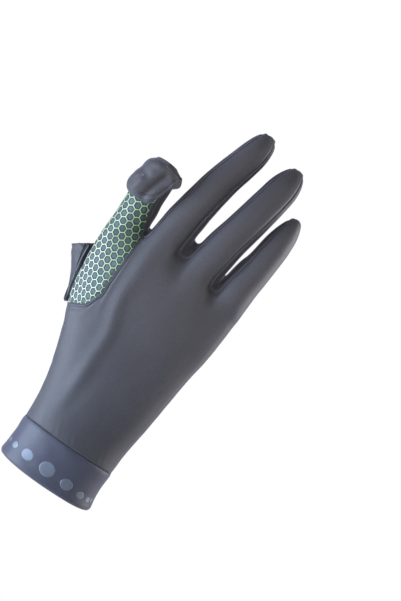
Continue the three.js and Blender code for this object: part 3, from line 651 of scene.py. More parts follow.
class Panel:
    """One cut piece of the glove: its own faces of the skin, with its sewn edges drawn in and sunk."""

    def __init__(self, skin, name):
        own = skin.piece == PIECES.index(name)
        used, flat = np.unique(skin.faces[own], return_inverse=True)
        points = skin.points[used]
        edges = skin.edges(name)
        rim = open_edges(edges)
        self.name = name
        self.faces = flat.reshape(-1, 4)
        self.weave = panel_weave(points)[self.faces] if name == "index_panel" else skin.weave[own]
        self.normals = skin.normals[used]
        self.number = {int(v): i for i, v in enumerate(used)}
        self.rim = [(self.number[a], self.number[b]) for a, b in rim]
        inward = np.zeros_like(points)
        middles = points[self.faces].mean(axis=1)
        for k in range(4):
            np.add.at(inward, self.faces[:, k], unit(middles - points[self.faces[:, k]]))
        self.inward = unit(inward - self.normals * (inward * self.normals).sum(axis=1, keepdims=True))
        seam = [self.number[v] for edge in rim if edge[::-1] in skin.all_edges for v in edge]
        distance = ring_distance(len(points), self.faces, seam)
        for step, sink in enumerate(SEAM_SINK):
            points[distance == step] -= self.normals[distance == step] * sink
        for step, inset in enumerate((SEAM_INSET, SEAM_INSET / 3)):
            points[distance == step] += self.inward[distance == step] * inset
        self.points = points

    def skin_object(self):
        """The outer face alone, to lay other pieces on."""
        return object_from(self.name + "_skin", place(self.points), self.faces, self.weave)

    def cloth_object(self):
        inner = self.points - self.normals * CLOTH
        return shell(self.name, self.points, inner, self.faces, self.weave, self.rim)

    def beside_seam(self, other, distance, lift):
        """Paths at a distance from the seam with another piece, and at a height above the skin."""
        paths = []
        for path in skin.seams(self.name, other):
            index = [self.number[v] for v in path]
            spots = self.points[index] + self.inward[index] * distance
            paths.append(spots + self.normals[index] * (SEAM_SINK[0] + lift))
        return paths


class Tree:
    """Builds a node tree. A value is a constant, a socket, or a node's outputs, for its first."""

    FAMILIES = ("GeometryNode", "ShaderNode", "FunctionNode")

    def __init__(self, tree):
        self.tree = tree

    def plug(self, socket, value):
        if isinstance(value, bpy.types.bpy_prop_collection):
            value = value[0]
        if isinstance(value, bpy.types.NodeSocket):
            self.tree.links.new(value, socket)
        else:
            socket.default_value = value

    def node(self, kind, inputs=None, **settings):
        """The outputs of a new node, which is named without its family."""
        family = next(family for family in self.FAMILIES if hasattr(bpy.types, family + kind))
        made = self.tree.nodes.new(family + kind)
        for key, value in settings.items():
            setattr(made, key, value)
        for key, value in (inputs or {}).items():
            self.plug(made.inputs[key], value)
        return made.outputs

    def math(self, operation, a, b=0.0):
        return self.node("Math", {0: a, 1: b}, operation=operation)[0]

    def add(self, a, b):
        return self.math("ADD", a, b)

    def less(self, a, b):
        return self.math("SUBTRACT", a, b)

    def times(self, a, b):
        return self.math("MULTIPLY", a, b)

    def move(self, geometry, **where):
        return self.node("SetPosition", {"Geometry": geometry, **where})

    def named(self, name):
        return self.node("InputNamedAttribute", {"Name": name}, data_type="FLOAT_VECTOR")["Attribute"]

    def stored(self, geometry, name, value):
        inputs = {"Geometry": geometry, "Name": name, "Value": value}
        return self.node("StoreNamedAttribute", inputs, data_type="FLOAT_VECTOR")

    def without(self, geometry, kept):
        """The geometry's points where kept is true."""
        others = self.node("BooleanMath", {0: kept}, operation="NOT")
        return self.node("DeleteGeometry", {"Geometry": geometry, "Selection": others})

    def cloth(self, given):
        return self.node("ObjectInfo", {"Object": given["Cloth"]}, transform_space="RELATIVE")["Geometry"]

    def noise(self, scale, detail):
        where = self.node("TexCoord")["Object"]
        return self.node("TexNoise", {"Vector": where, "Scale": scale, "Detail": detail})["Fac"]

    def ramp(self, share, *stops):
        colour = self.node("ValToRGB", {"Fac": share})["Color"]
        for element, (position, tone) in zip(colour.node.color_ramp.elements, stops):
            element.position = position
            element.color = (*tone, 1)
        return colour

    def overlay(self, below, above, share):
        inputs = {"Factor": share, "A": below, "B": above}
        return self.node("Mix", inputs, data_type="RGBA", blend_type="OVERLAY")["Result"]

    def bump(self, height, strength, distance, **more):
        return self.node("Bump", {"Strength": strength, "Distance": distance, "Height": height, **more})


def geometry_tree(fill, **inputs):
    """A Geometry Nodes tree with inputs named for each kind, filled in by a function."""
    tree = bpy.data.node_groups.new(fill.__name__, "GeometryNodeTree")
    for kind, names in {"Geometry": "Geometry", **inputs, "Material": "Material"}.items():
        for name in names.split(", "):
            tree.interface.new_socket(name, in_out="INPUT", socket_type="NodeSocket" + kind)
    tree.interface.new_socket("Geometry", in_out="OUTPUT", socket_type="NodeSocketGeometry")
    t = Tree(tree)
    given = tree.nodes.new("NodeGroupInput").outputs
    real = t.node("RealizeInstances", {"Geometry": fill(t, given)})
    painted = t.node("SetMaterial", {"Geometry": real, "Material": given["Material"]})
    t.plug(tree.nodes.new("NodeGroupOutput").inputs[0], painted)
    return tree


def grown(name, base, tree, material, values):
    """A plain object with the result of a tree on a base object, which is removed."""
    modifier = base.modifiers.new("grow", "NODES")
    modifier.node_group = tree
    values = {**values, "Material": material}
    for item in tree.interface.items_tree:
        if item.in_out == "INPUT" and item.name in values:
            modifier[item.identifier] = values[item.name]
    mesh = evaluated_mesh(base, name)
    bpy.data.objects.remove(base)
    mesh.shade_smooth()
    return linked(name, mesh)


def stitches(t, given):
    """Stitches of a given length along each path, a pitch apart."""
    curve = t.node("MeshToCurve", {"Mesh": given["Geometry"]})
    spots = t.node("CurveToPoints", {"Curve": curve, "Length": given["Pitch"]}, mode="LENGTH")
    seed = t.node("MeshUVSphere", {"Segments": 6, "Rings": 5, "Radius": 0.5})
    wide = given["Thickness"]
    scale = t.node("CombineXYZ", {"X": wide, "Y": wide, "Z": given["Length"]})
    inputs = {"Points": spots, "Instance": seed, "Rotation": spots["Rotation"], "Scale": scale}
    return t.node("InstanceOnPoints", inputs)


def cords(t, given):
    """A round cord along each path."""
    curve = t.node("MeshToCurve", {"Mesh": given["Geometry"]})
    profile = t.node("CurvePrimitiveCircle", {"Resolution": 8, "Radius": given["Radius"]})
    return t.node("CurveToMesh", {"Curve": curve, "Profile Curve": profile, "Fill Caps": True})


def honeycomb_net(t, given):
    """A net of six-sided cells, laid on a cloth by the cloth's own coordinates."""
    columns, rows, pitch, row_pitch = (given[key] for key in ("Columns", "Rows", "Pitch", "Row pitch"))
    width = t.times(pitch, t.less(columns, 1.0))
    height = t.times(row_pitch, t.less(rows, 1.0))
    sizes = {"Size X": width, "Size Y": height, "Vertices X": columns, "Vertices Y": rows}
    grid = t.node("MeshGrid", sizes)
    parts = t.node("SeparateXYZ", {"Vector": t.node("InputPosition")})
    from_low = t.add(parts["Y"], t.times(height, 0.5))
    lean = t.times(t.times(t.math("DIVIDE", from_low, row_pitch), pitch), 0.5)
    v = t.add(from_low, given["Low v"])
    reach = {"From Min": given["Narrow from"], "From Max": given["Full from"], "To Min": given["Narrowest"]}
    narrow = t.node("MapRange", {"Value": v, **reach})
    from_middle = t.less(t.add(parts["X"], lean), t.times(width, 0.25))
    u = t.add(t.times(from_middle, narrow), given["Middle u"])
    leaned = t.move(grid, Position=t.node("CombineXYZ", {"X": u, "Y": v}))
    split = t.node("Triangulate", {"Mesh": leaned}, quad_method="SHORTEST_DIAGONAL")
    cells = t.node("DualMesh", {"Mesh": split})
    rims = t.node("ExtrudeMesh", {"Mesh": cells, "Offset Scale": 0.0, "Individual": True})
    share = t.less(1.0, given["Line share"])
    shrunk = t.node("ScaleElements", {"Geometry": rims, "Selection": rims["Top"], "Scale": share})
    net = t.node("DeleteGeometry", {"Geometry": shrunk, "Selection": rims["Top"]}, domain="FACE")
    fine = t.node("SubdivideMesh", {"Mesh": net, "Level": given["Fineness"]})
    cloth = t.cloth(given)
    weave = t.named("weave")

    def sampled(value):
        here = t.node("InputPosition")
        inputs = {"Mesh": cloth, "Value": value, "Source UV Map": weave, "Sample UV": here}
        return t.node("SampleUVSurface", inputs, data_type="FLOAT_VECTOR")

    at = sampled(t.node("InputPosition"))
    out = sampled(t.node("InputNormal"))
    # what is sampled is stored before the points move
    kept = t.without(t.stored(fine, "out", out["Value"]), at["Is Valid"])
    laid = t.move(kept, Position=at["Value"])
    outward = t.named("out")
    lift = t.node("VectorMath", {0: outward, "Scale": given["Raise"]}, operation="SCALE")
    raised = {"Mesh": t.move(laid, Offset=lift), "Offset": outward, "Offset Scale": given["Thickness"]}
    return t.node("ExtrudeMesh", {**raised, "Individual": False})


LATTICE = 25
LATTICE_ROW = 0.866
CONE_TOP = 0.78
BACKWARD = {"Ray Direction": (0, -1, 0), "Ray Length": 1.0}


def grip_pads(t, given):
    """Six-sided pads in a lattice, inside an outline and pressed on the cloth behind it."""
    pitch = given["Pitch"]
    width = t.times(pitch, float(LATTICE - 1))
    height = t.times(width, LATTICE_ROW)
    sizes = {"Size X": width, "Size Y": height, "Vertices X": LATTICE, "Vertices Y": LATTICE}
    grid = t.node("MeshGrid", sizes)
    parts = t.node("SeparateXYZ", {"Vector": t.node("InputPosition")})
    row = t.math("ROUND", t.math("DIVIDE", parts["Y"], t.times(pitch, LATTICE_ROW)))
    odd = t.math("PINGPONG", row, 1.0)
    x = t.add(parts["X"], t.times(t.times(odd, pitch), 0.5))
    upright = t.node("CombineXYZ", {"X": x, "Z": parts["Y"]})
    turned = t.node("VectorRotate", {"Vector": upright, "Angle": given["Turn"]}, rotation_type="Y_AXIS")
    lattice = t.move(grid, Position=t.node("VectorMath", {0: turned, 1: given["Centre"]}, operation="ADD"))
    inside = t.node("Raycast", {"Target Geometry": given["Geometry"], **BACKWARD})
    kept = t.without(lattice, inside["Is Hit"])
    hit = t.node("Raycast", {"Target Geometry": t.cloth(given), **BACKWARD})
    pressed = t.move(t.stored(kept, "out", hit["Hit Normal"]), Position=hit["Hit Position"])
    facing = t.node("AlignRotationToVector", {"Vector": t.named("out")}, axis="Z")
    radii = {"Radius Top": t.times(given["Pad"], CONE_TOP), "Radius Bottom": given["Pad"]}
    pad = t.node("MeshCone", {"Vertices": 6, **radii, "Depth": given["Raise"]})
    return t.node("InstanceOnPoints", {"Points": pressed, "Instance": pad, "Rotation": facing})


stitch_tree = geometry_tree(stitches, Float="Pitch, Length, Thickness")
cord_tree = geometry_tree(cords, Float="Radius")
NET_PLACE = "Middle u, Low v, Narrow from, Full from, Narrowest"
NET_SIZES = "Pitch, Row pitch, Line share, Raise, Thickness, " + NET_PLACE
honeycomb_tree = geometry_tree(honeycomb_net, Object="Cloth", Float=NET_SIZES, Int="Fineness, Columns, Rows")
grip_tree = geometry_tree(grip_pads, Object="Cloth", Float="Pitch, Pad, Raise, Turn", Vector="Centre")


def shader(name, **values):
    """A new material, its tree and its Principled sockets, which take the values."""
    material = bpy.data.materials.new(name)
    material.use_nodes = True
    sockets = material.node_tree.nodes["Principled BSDF"].inputs
    for key, value in values.items():
        sockets[key.replace("_", " ")].default_value = value
    return material, Tree(material.node_tree), sockets


def knit(t, scale, direction, distortion):
    weave = t.node("UVMap", uv_map="weave")
    inputs = {"Vector": weave, "Scale": scale, "Distortion": distortion, "Detail": 1.0}
    return t.node("TexWave", inputs, bands_direction=direction)["Fac"]


def cloth_material(name, light, dark, roughness=0.56):
    """A fine knit, a little cloudy, with upright wales crossed by courses."""
    look = {"Sheen_Weight": 0.35, "Sheen_Roughness": 0.45, "Sheen_Tint": (0.72, 0.76, 1.0, 1)}
    material, t, sockets = shader(name, Specular_IOR_Level=0.4, **look)
    cloudy = t.noise(34.0, 3.0)
    tone = t.ramp(cloudy, (0.3, dark), (0.7, light))
    t.plug(sockets["Base Color"], t.overlay(tone, t.noise(900.0, 2.0), 0.25))
    rough = {"Value": cloudy, "To Min": roughness - 0.05, "To Max": roughness + 0.06}
    t.plug(sockets["Roughness"], t.node("MapRange", rough))
    loops = t.times(knit(t, 72.0, "X", 0.6), knit(t, 96.0, "Y", 0.8))
    t.plug(sockets["Normal"], t.bump(cloudy, 0.5, 0.0006, Normal=t.bump(loops, 0.35, 0.00006)))
    return material


def plain_material(name, colour, roughness, grain=600.0, strength=0.3, **values):
    """A finish with a fine grain, such as thread, film or silicone."""
    material, t, sockets = shader(name, Roughness=roughness, **values)
    noise = t.noise(grain, 3.0)
    t.plug(sockets["Base Color"], t.overlay((*colour, 1), noise, 0.3))
    t.plug(sockets["Normal"], t.bump(noise, strength, 0.0001))
    return material


def print_material():
    """Pale mint low down and towards the thumb, stronger green at the upper finger."""
    material, t, sockets = shader("mint_print", Roughness=0.42, Coat_Weight=0.15)
    parts = t.node("SeparateXYZ", {"Vector": t.node("TexCoord")["Object"]})
    rise = t.times(t.less(parts["Z"], 0.128), 22.0)
    across = t.times(t.add(parts["X"], 0.0455), 70.0)
    share = t.node("MapRange", {"Value": t.add(rise, across), "From Min": -1.1, "From Max": 0.9})
    cloudy = t.noise(120.0, 2.0)
    shifted = t.add(share, t.times(t.less(cloudy, 0.5), 0.5))
    t.plug(sockets["Base Color"], t.ramp(shifted, (0.0, (0.63, 0.65, 0.5)), (1.0, (0.27, 0.45, 0.21))))
    t.plug(sockets["Normal"], t.bump(cloudy, 0.2, 0.00008))
    return material


cloth = cloth_material("slate_knit", (0.062, 0.057, 0.062), (0.05, 0.045, 0.049))
# A near-black copy of the cloth for the thumb's flap: painted shade of the gap between the thumb and the
# index finger
flap_shade_cloth = cloth_material("flap_painted_shade_knit", (0.014, 0.014, 0.018), (0.01, 0.01, 0.013), 0.75)
# A lighter, bluer copy of the cloth for the cap's pocket walls: painted light that lifts the shade inside
# the cap's mouth
pocket_lifted_cloth = cloth_material("pocket_painted_light_knit", (0.066, 0.066, 0.077), (0.054, 0.054, 0.063))
cuff_cloth = cloth_material("cuff_knit", (0.064, 0.063, 0.086), (0.052, 0.051, 0.07), 0.52)
panel_cloth = cloth_material("panel_knit", (0.078, 0.094, 0.108), (0.048, 0.058, 0.068), 0.5)
# A lighter copy of the cloth for lips, hems and rims: painted highlight on the raised edges
lip_highlight_cloth = cloth_material("lip_highlight_knit", (0.092, 0.092, 0.11), (0.076, 0.076, 0.09), 0.5)
thread = plain_material("dark_thread", (0.018, 0.019, 0.026), 0.6, Sheen_Weight=0.2)
# A light grey thread for the thumb flap's fold: painted highlight on the fold's ridge
fold_highlight_thread = plain_material("grey_highlight_thread", (0.16, 0.17, 0.21), 0.55, Sheen_Weight=0.2)
film = plain_material("reflective_film", (0.145, 0.16, 0.195), 0.5, 2600.0, 0.4, Metallic=0.15)
glossy = {"Coat_Weight": 0.35, "Coat_Roughness": 0.2}
silicone = plain_material("silicone_print", (0.12, 0.135, 0.17), 0.28, 900.0, 0.1, **glossy)
dark_print = plain_material("dark_green_print", (0.016, 0.034, 0.021), 0.6, 700.0)
mint = print_material()

# Where the photograph was taken from
PHOTO_CENTRE = place((12.7, 0, 133.7))
CAMERA_RISE = math.radians(4)
PHOTO_LEAN = math.radians(35)
LENS = 90.0
SENSOR = 36.0
VIEW_HEIGHT = 0.3366
BACK = Vector((0, -math.cos(CAMERA_RISE), math.sin(CAMERA_RISE)))
VIEWPOINT = Vector(PHOTO_CENTRE) + BACK * VIEW_HEIGHT * LENS / SENSOR


def finish_piece(piece, material, replaced=()):
    """Gives a piece its material and its body, and hides the imported parts that it replaces."""
    piece.data.materials.clear()
    piece.data.materials.append(material)
    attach(piece, "root")
    if replaced:
        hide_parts(*replaced)
    return piece


def along(name, paths, tree, material, **sizes):
    """A piece that a tree makes along paths. Its sizes are in millimetres."""
    points, edges = [], []
    for path in paths:
        edges += [(len(points) + i, len(points) + i + 1) for i in range(len(path) - 1)]
        points += list(place(path))
    base = object_from(name + "_path", points, edges=edges)
    values = {key: size * MM for key, size in sizes.items()}
    finish_piece(grown(name, base, tree, material, values), material)


def sew(name, paths, pitch, length):
    along(name, paths, stitch_tree, thread, Pitch=pitch, Length=length, Thickness=STITCH_WIDE)


def pipe(name, paths, radius, material):
    along(name, paths, cord_tree, material, Radius=radius)


skin = Skin(build_cage())
soft_folds(skin)
panels = {name: Panel(skin, name) for name in PIECES}
for name, panel in panels.items():
    if name == "index_panel":
        finish_piece(panel.cloth_object(), panel_cloth, [name])
    else:
        finish_piece(panel.cloth_object(), cloth, [name])

# The seams: their allowance inside, their stitches, and the cloth that stands up in a narrow lip, in a
# lighter cloth that is painted highlight
ALLOWANCE_DEPTH = 0.62
ALLOWANCE_RADIUS = 0.42
STITCH_WIDE = 0.42
STITCH_LIFT = -0.22
LIP_INSET = 0.3
LIP_LIFT = -0.05
allowance = []
for number, first in enumerate(PIECES):
    for second in PIECES[number + 1:]:
        for path in skin.seams(first, second):
            allowance.append(skin.points[path] - skin.normals[path] * ALLOWANCE_DEPTH)
pipe("seam_allowance", allowance, ALLOWANCE_RADIUS, thread)


def back_seams(others, distance, lift):
    return [path for other in others for path in panels["back_panel"].beside_seam(other, distance, lift)]


sew("panel_stitches", back_seams(["index_panel"], 1.05, STITCH_LIFT), 1.9, 1.4)
sew("finger_stitches", back_seams(STRIPS, 1.2, STITCH_LIFT), 1.5, 1.3)
pipe("finger_lips", back_seams(STRIPS, LIP_INSET, LIP_LIFT), 0.36, lip_highlight_cloth)
pipe("panel_lip", back_seams(["index_panel"], LIP_INSET, LIP_LIFT), 0.34, lip_highlight_cloth)

# The honeycomb
HONEYCOMB_ROWS = 28
HONEYCOMB = {
    "Pitch": 4.14 * UV_SCALE,
    "Row pitch": 3.8 * UV_SCALE,
    "Middle u": -1.36 * UV_SCALE,
    "Low v": 85.3 * UV_SCALE,
    "Narrow from": 102 * UV_SCALE,
    "Full from": 118 * UV_SCALE,
    "Narrowest": 0.78,
    "Columns": 2 * HONEYCOMB_ROWS,
    "Rows": HONEYCOMB_ROWS,
    "Raise": -0.04 * MM,
    "Fineness": 2,
}
panel_skin = panels["index_panel"].skin_object()
for name, line_share, thickness, ink in (
    ("honeycomb_print", 0.115, 0.22, mint),
    ("honeycomb_shade", 0.4, 0.08, dark_print),
):
    values = {**HONEYCOMB, "Cloth": panel_skin, "Line share": line_share, "Thickness": thickness * MM}
    base = object_from(name + "_base", [(0, 0, 0)])
    finish_piece(grown(name, base, honeycomb_tree, ink, values), ink)
bpy.data.objects.remove(panel_skin)


def grid_of(rows, columns, closed_up=False, closed_round=False, flip=False):
    """The faces of a grid, and their corners' steps across and up. A closed side meets its start."""
    faces, steps = [], []
    for r in range(rows if closed_up else rows - 1):
        for c in range(columns if closed_round else columns - 1):
            corners = [(c, r), (c + 1, r), (c + 1, r + 1), (c, r + 1)]
            if flip:
                corners[1], corners[3] = corners[3], corners[1]
            faces.append([v % rows * columns + u % columns for u, v in corners])
            steps.append(corners)
    return faces, np.array(steps)


def tube_of(rings, columns):
    """The faces of a tube with both ends closed."""
    faces, _ = grid_of(rings, columns, closed_round=True, flip=True)
    return [*faces, range(columns), range(rings * columns)[:-columns - 1:-1]]


# The cuff
wrist = min(chains(open_edges(skin.all_edges)), key=lambda path: skin.points[path[0]][2])
wrist_points, wrist_normals = skin.points[wrist], skin.normals[wrist]
CUFF = table(
    "z proud", (0, -0.1), (1.2, 0.6), (4, 0.5), (8, 0.2), (16, -0.1), (22.5, 0.25), (CUFF_HEIGHT, -0.1)
)
CUFF_WALL = 1.5
CUFF_STEPS = (0.5, 0.8)
CUFF_LIFT = 0.35
CUFF_FOOT = 0.9
CUFF_ROLL = 0.8
CUFF_LEVELS = (*np.linspace(CUFF_FOOT, 22.6, 30), 23.3, 23.8, 24.1)
FLARE_HEIGHT = 10
TOP_INSET = 0.55
CUFF_SEAM_DEPTH = 0.55


def cuff_band():
    points = wrist_points[:-1]
    x, y, z = points.T
    out = unit(wrist_normals[:-1] * [1, 1, 0])
    rise = z - HAND[0].z
    flare = smooth(x, 4, 26) * smooth(-y, -12, 4)
    rows = []
    for level in CUFF_LEVELS:
        wave = 0.07 * np.sin(x * 0.35 + level * 0.5) * np.sin(level * 0.23)
        swing = flare * (1 - smooth(level, 0, FLARE_HEIGHT))
        row = points + out * (read(CUFF, level)[0] + wave + swing + CUFF_LIFT)[:, None]
        row[:, 2] = level + rise * smooth(level, 8, HAND[0].z)
        rows.append(row)
    top = rows[-1] - out * TOP_INSET
    top[:, 2] = CUFF_HEIGHT + 0.12 + rise
    inner_top = rows[-1] - out * CUFF_WALL
    inner_top[:, 2] = CUFF_HEIGHT - 0.1 + rise
    inner = [row - out * CUFF_WALL for row in rows[:-2:4]]
    roll = []
    for side in np.radians(np.linspace(-120, -60, 4)):
        row = rows[0] - out * (1 - math.cos(side)) * CUFF_WALL / 2
        row[:, 2] = CUFF_FOOT + math.sin(side) * CUFF_ROLL
        roll.append(row)
    rings = [*rows, top, inner_top, *inner[::-1], *roll]
    faces, steps = grid_of(len(rings), len(points), closed_up=True, closed_round=True)
    return object_from("cuff_band", place(np.vstack(rings)), faces, steps * CUFF_STEPS)


cuff = finish_piece(cuff_band(), cuff_cloth, ["cuff_band"])
pipe("cuff_seam", [wrist_points - wrist_normals * CUFF_SEAM_DEPTH], ALLOWANCE_RADIUS, thread)

# The index fingertip's cap, turned back over the finger
INDEX_CAP = table(
    "z start end puff",
    (160.6, -52, 2, 2.0),
    (162.6, -84, 20, 4.0),
    (166.2, -106, 30, 5.2),
    (170.5, -98, 38, 5.6),
    (175, -94, 50, 5.4),
    (179.2, -92, 90, 5.0),
    (182.6, -78, 74, 4.6),
    (185.4, -46, 52, 3.4),
)
CAP_ROWS = 72
CAP_COLUMNS = 72
CAP_LOOP = 2 * CAP_ROWS + CAP_ROWS // 2 + 2
CAP_SEAT = 0.5
SEAT_WALL = 0.7
POCKET_GAP = 0.02
POCKET_FOOT = 0.16
CAP_WALL = 0.8
CAP_ARCH, CAP_CREST, CAP_SLOPE = 1.3, 0.42, 1.2
MOUTH_DROP = 3.3
RIM_RISE, SEAT_RISE = 0.3, 0.25

# Folds of the cap as seen from the back: a line of (x, z), how far it stands out and how wide it is
CAP_FOLDS = table(
    "line height width",
    ([(-41, 164.5), (-37.9, 172), (-35.6, 178)], 1.9, 2.4),
    ([(-46, 163.5), (-44.3, 171), (-41.6, 179)], -1.7, 2.5),
    ([(-58, 177), (-52, 174.5)], -0.7, 2.4),
    ([(-53.0, 165.2), (-52, 170.5)], 0.8, 2.2),
    ([(-57.2, 166.6), (-55.4, 168.6), (-53.4, 172.4)], -1.3, 0.8),
    ([(-54, 180), (-49, 183.5)], 0.4, 2.4),
    ([(-43, 162), (-39.4, 166.8), (-37.6, 172), (-36.6, 177), (-35.6, 181)], 0.35, 0.6),
)


def fold_height(x, z):
    """How far the folds lift the cap at a place seen from the back."""
    height = 0
    for fold in CAP_FOLDS:
        nearest = math.inf
        for (ax, az), (bx, bz) in zip(fold.line, fold.line[1:]):
            dx, dz = bx - ax, bz - az
            share = np.clip(((x - ax) * dx + (z - az) * dz) / (dx * dx + dz * dz), 0, 1)
            nearest = min(nearest, math.hypot(x - ax - share * dx, z - az - share * dz))
        height += fold.height * ridge(nearest, fold.width)
    return height


def index_axis(z, angle, lift):
    levels = FINGERS[0].levels
    x, y, wide, deep, _ = read(levels, min(z, levels[-1].z))
    return np.array([x + (wide + lift) * math.sin(angle), y - (deep + lift) * math.cos(angle), z])


def cap_point(up, across, layer):
    """A point of the cap's outside, its pocket's outer wall (1) or inner wall (2), or its seat (3)."""
    z = mix(INDEX_CAP[0].z, INDEX_CAP[-1].z, up)
    arch = CAP_ARCH * (1 - ((across - CAP_CREST) / 0.5) ** 2)
    z += (arch - CAP_SLOPE * smooth(across, 0.75, 1.0)) * smooth(up, 0.6, 1.0)
    swell = math.sin(math.pi * across) ** 0.7
    is_open = smooth(across, 0.4, 0.66) * (1 - smooth(across, 0.93, 1.0))
    if layer < 2:
        z -= MOUTH_DROP * is_open * smooth(up, 0.55, 1.0)
    start, end, puff = read(INDEX_CAP, z)
    angle = math.radians(mix(start, end, across))
    outside = CAP_SEAT + mix(1.5, puff, swell)
    x, _, level = index_axis(z, angle, outside)
    outside += fold_height(x, level) * swell ** 0.5 - 0.35 * (1 - smooth(up, 0.0, 0.05))
    pocket = swell * smooth(up, 0.12, 0.4)
    inner = CAP_SEAT + SEAT_WALL
    wall = max(outside - CAP_WALL, mix(inner + POCKET_GAP, outside - CAP_WALL, pocket))
    return index_axis(z, angle, (outside, wall, inner, CAP_SEAT)[layer])


def cap_loop(across):
    """The closed section of the cap: up its outside, down and up the pocket, and down the seat."""
    half = CAP_ROWS // 2
    runs = (0, 1, CAP_ROWS), (1, POCKET_FOOT, half), (POCKET_FOOT, 1, half), (1, 0, half)
    outside, wall, inner, seat = (
        [cap_point(up, across, layer) for up in np.linspace(*run)] for layer, run in enumerate(runs)
    )
    rim = (outside[-1] + wall[0]) / 2 + np.array([0, 0, RIM_RISE])
    lip = (inner[-1] + seat[0]) / 2 + np.array([0, 0, SEAT_RISE])
    return [*outside, rim, *wall, *inner, lip, *seat]


def index_cap():
    points = np.array([cap_loop(c / (CAP_COLUMNS - 1)) for c in range(CAP_COLUMNS)]).reshape(-1, 3)
    faces = tube_of(CAP_COLUMNS, CAP_LOOP)
    weave = [points[i][::2] for face in faces for i in face]
    return object_from("index_cap", place(points), faces, weave)


cap = finish_piece(index_cap(), cloth, ["index_cap"])
# The pocket's walls take the lighter cloth, which is painted light in the shaded mouth
cap.data.materials.append(pocket_lifted_cloth)
for number, face in enumerate(cap.data.polygons):
    if CAP_ROWS < number % CAP_LOOP < 2 * CAP_ROWS + 2 and len(face.vertices) == 4:
        face.material_index = 1


LAID_STEP = 0.8


def tree_of(piece):
    mesh = piece.data
    return BVHTree.FromPolygons([v.co for v in mesh.vertices], [p.vertices[:] for p in mesh.polygons])


def seen_on(piece, path, lift):
    """A path given as the photograph shows it, laid on a piece."""
    tree = tree_of(piece)
    spots = []
    for a, b in zip(path, path[1:]):
        count = max(1, round(math.dist(a, b) / LAID_STEP))
        spots += [(mix(a[0], b[0], k / count), mix(a[1], b[1], k / count)) for k in range(count)]
    laid = []
    for x, z in [*spots, path[-1]]:
        aim = Vector(place((x, 0, z))) - VIEWPOINT
        hit, normal, _, _ = tree.ray_cast(VIEWPOINT, aim.normalized())
        if hit is not None:
            laid.append(np.array(hit) / MM + np.array(normal) * lift + [CUFF_CENTRE, 0, 0])
    return [laid]


# The hem and rim cords in the lighter lip cloth are painted highlight along the edges; the hem's shade cord
# in dark thread is painted shade in the valley inside the hem
CAP_HEM = [(-36.3, 181.5), (-37.4, 176), (-39, 170.5), (-41.2, 166), (-45, 163.2), (-50, 162.4)]
CAP_HEM += [(-54, 163.4), (-57, 166)]
CAP_HEM_SHADE = [(-37.6, 180.5), (-38.8, 175.5), (-40.4, 170.5), (-43.2, 166.6), (-46.5, 164.6), (-50, 164)]
CAP_RIM = [(-46, 184.3), (-41, 183.6), (-36.8, 183)]
pipe("cap_hem", seen_on(cap, CAP_HEM, -0.05), 0.3, lip_highlight_cloth)
pipe("cap_hem_shade", seen_on(cap, CAP_HEM_SHADE, -0.12), 0.28, thread)
pipe("cap_rim", seen_on(cap, CAP_RIM, -0.05), 0.3, lip_highlight_cloth)

# The thumb's cap, turned back and pressed flat between the thumb and the index finger
THUMB_CAP = table(
    "z start end puff",
    (93.5, -4, 14, 1.9),
    (96, 6, 30, 2.2),
    (99.5, 20, 48, 2.4),
    (104.2, 34, 66, 2.4),
    (109.8, 46, 80, 2.4),
    (115.4, 58, 92, 2.4),
    (120.6, 70, 100, 2.3),
)
FLAP_ROWS, FLAP_COLUMNS = 64, 21
FLAP_GROOVES = table("depth at width", (0.75, 0.24, 0.07), (0.6, 0.6, 0.12))
FLAP_SEAT = 0.25


def thumb_axis(z, angle, lift):
    _, front, web = thumb_frame(2)
    x, y, wide, deep = read(THUMB, z)
    sides = front * (deep + lift) * math.cos(angle) + web * (wide + lift) * math.sin(angle)
    return np.array([x, y, z]) + sides


def thumb_cap():
    outer, inner = [], []
    for r in range(FLAP_ROWS):
        share_up = r / (FLAP_ROWS - 1)
        z = mix(THUMB_CAP[0].z, THUMB_CAP[-1].z, share_up)
        start, end, puff = read(THUMB_CAP, z)
        round_end = smooth(share_up, -0.01, 0.05) * (1 - 0.5 * smooth(share_up, 0.96, 1.0))
        for c in range(FLAP_COLUMNS):
            share = c / (FLAP_COLUMNS - 1)
            angle = math.radians(mix(start, end, share))
            swell = math.sin(math.pi * share) ** 0.45
            groove = sum(line.depth * ridge(share - line.at, line.width) for line in FLAP_GROOVES)
            wrinkle = 0.1 * math.sin(z * 0.9 + 5 * share) * swell
            lift = 0.5 + mix(0.7, puff + 0.5, swell * (0.4 + 0.6 * round_end)) - groove + wrinkle
            outer.append(thumb_axis(z, angle, lift))
            inner.append(thumb_axis(z, angle, FLAP_SEAT))
    faces, steps = grid_of(FLAP_ROWS, FLAP_COLUMNS)
    return shell("thumb_cap", outer, inner, faces, steps * 0.5, open_edges(edges_of(faces)))


# The flap wears the near-black cloth, which is painted shade between the thumb and the index finger
thumb_flap = finish_piece(thumb_cap(), flap_shade_cloth, ["thumb_cap"])
# A light cord on the flap's fold, which is painted highlight where the ridge catches the light
THUMB_FOLD = [(-56.5, 122.8), (-55.7, 115.5), (-54.2, 107), (-52.3, 99), (-50.6, 93.5)]
pipe("thumb_cap_fold", seen_on(thumb_flap, THUMB_FOLD, 0.08), 0.28, fold_highlight_thread)

# The reflective dots round the cuff
DOTS = table(
    "angle z diameter",
    (-70, 9.4, 3.2),
    (-52.5, 9.3, 4.7),
    (-30.5, 9.6, 7.6),
    (-3.4, 9.6, 9.7),
    (23, 8.4, 7.4),
    (44.5, 7.0, 4.9),
    (59.5, 6.4, 3.8),
    (69, 6.6, 3.0),
)
DOT_RINGS = [(0.01, 0.2), (0.35, 0.2), (0.7, 0.2), (0.9, 0.19), (0.97, 0.13), (1.0, 0.0), (1.0, -0.15)]
DOT_SIDES = 40
DOT_FLATNESS = 0.86
DOT_AIM = 60  # how far from the cuff's axis a dot's rays start
WRIST_WIDE, WRIST_DEEP = 29.4, 18.9


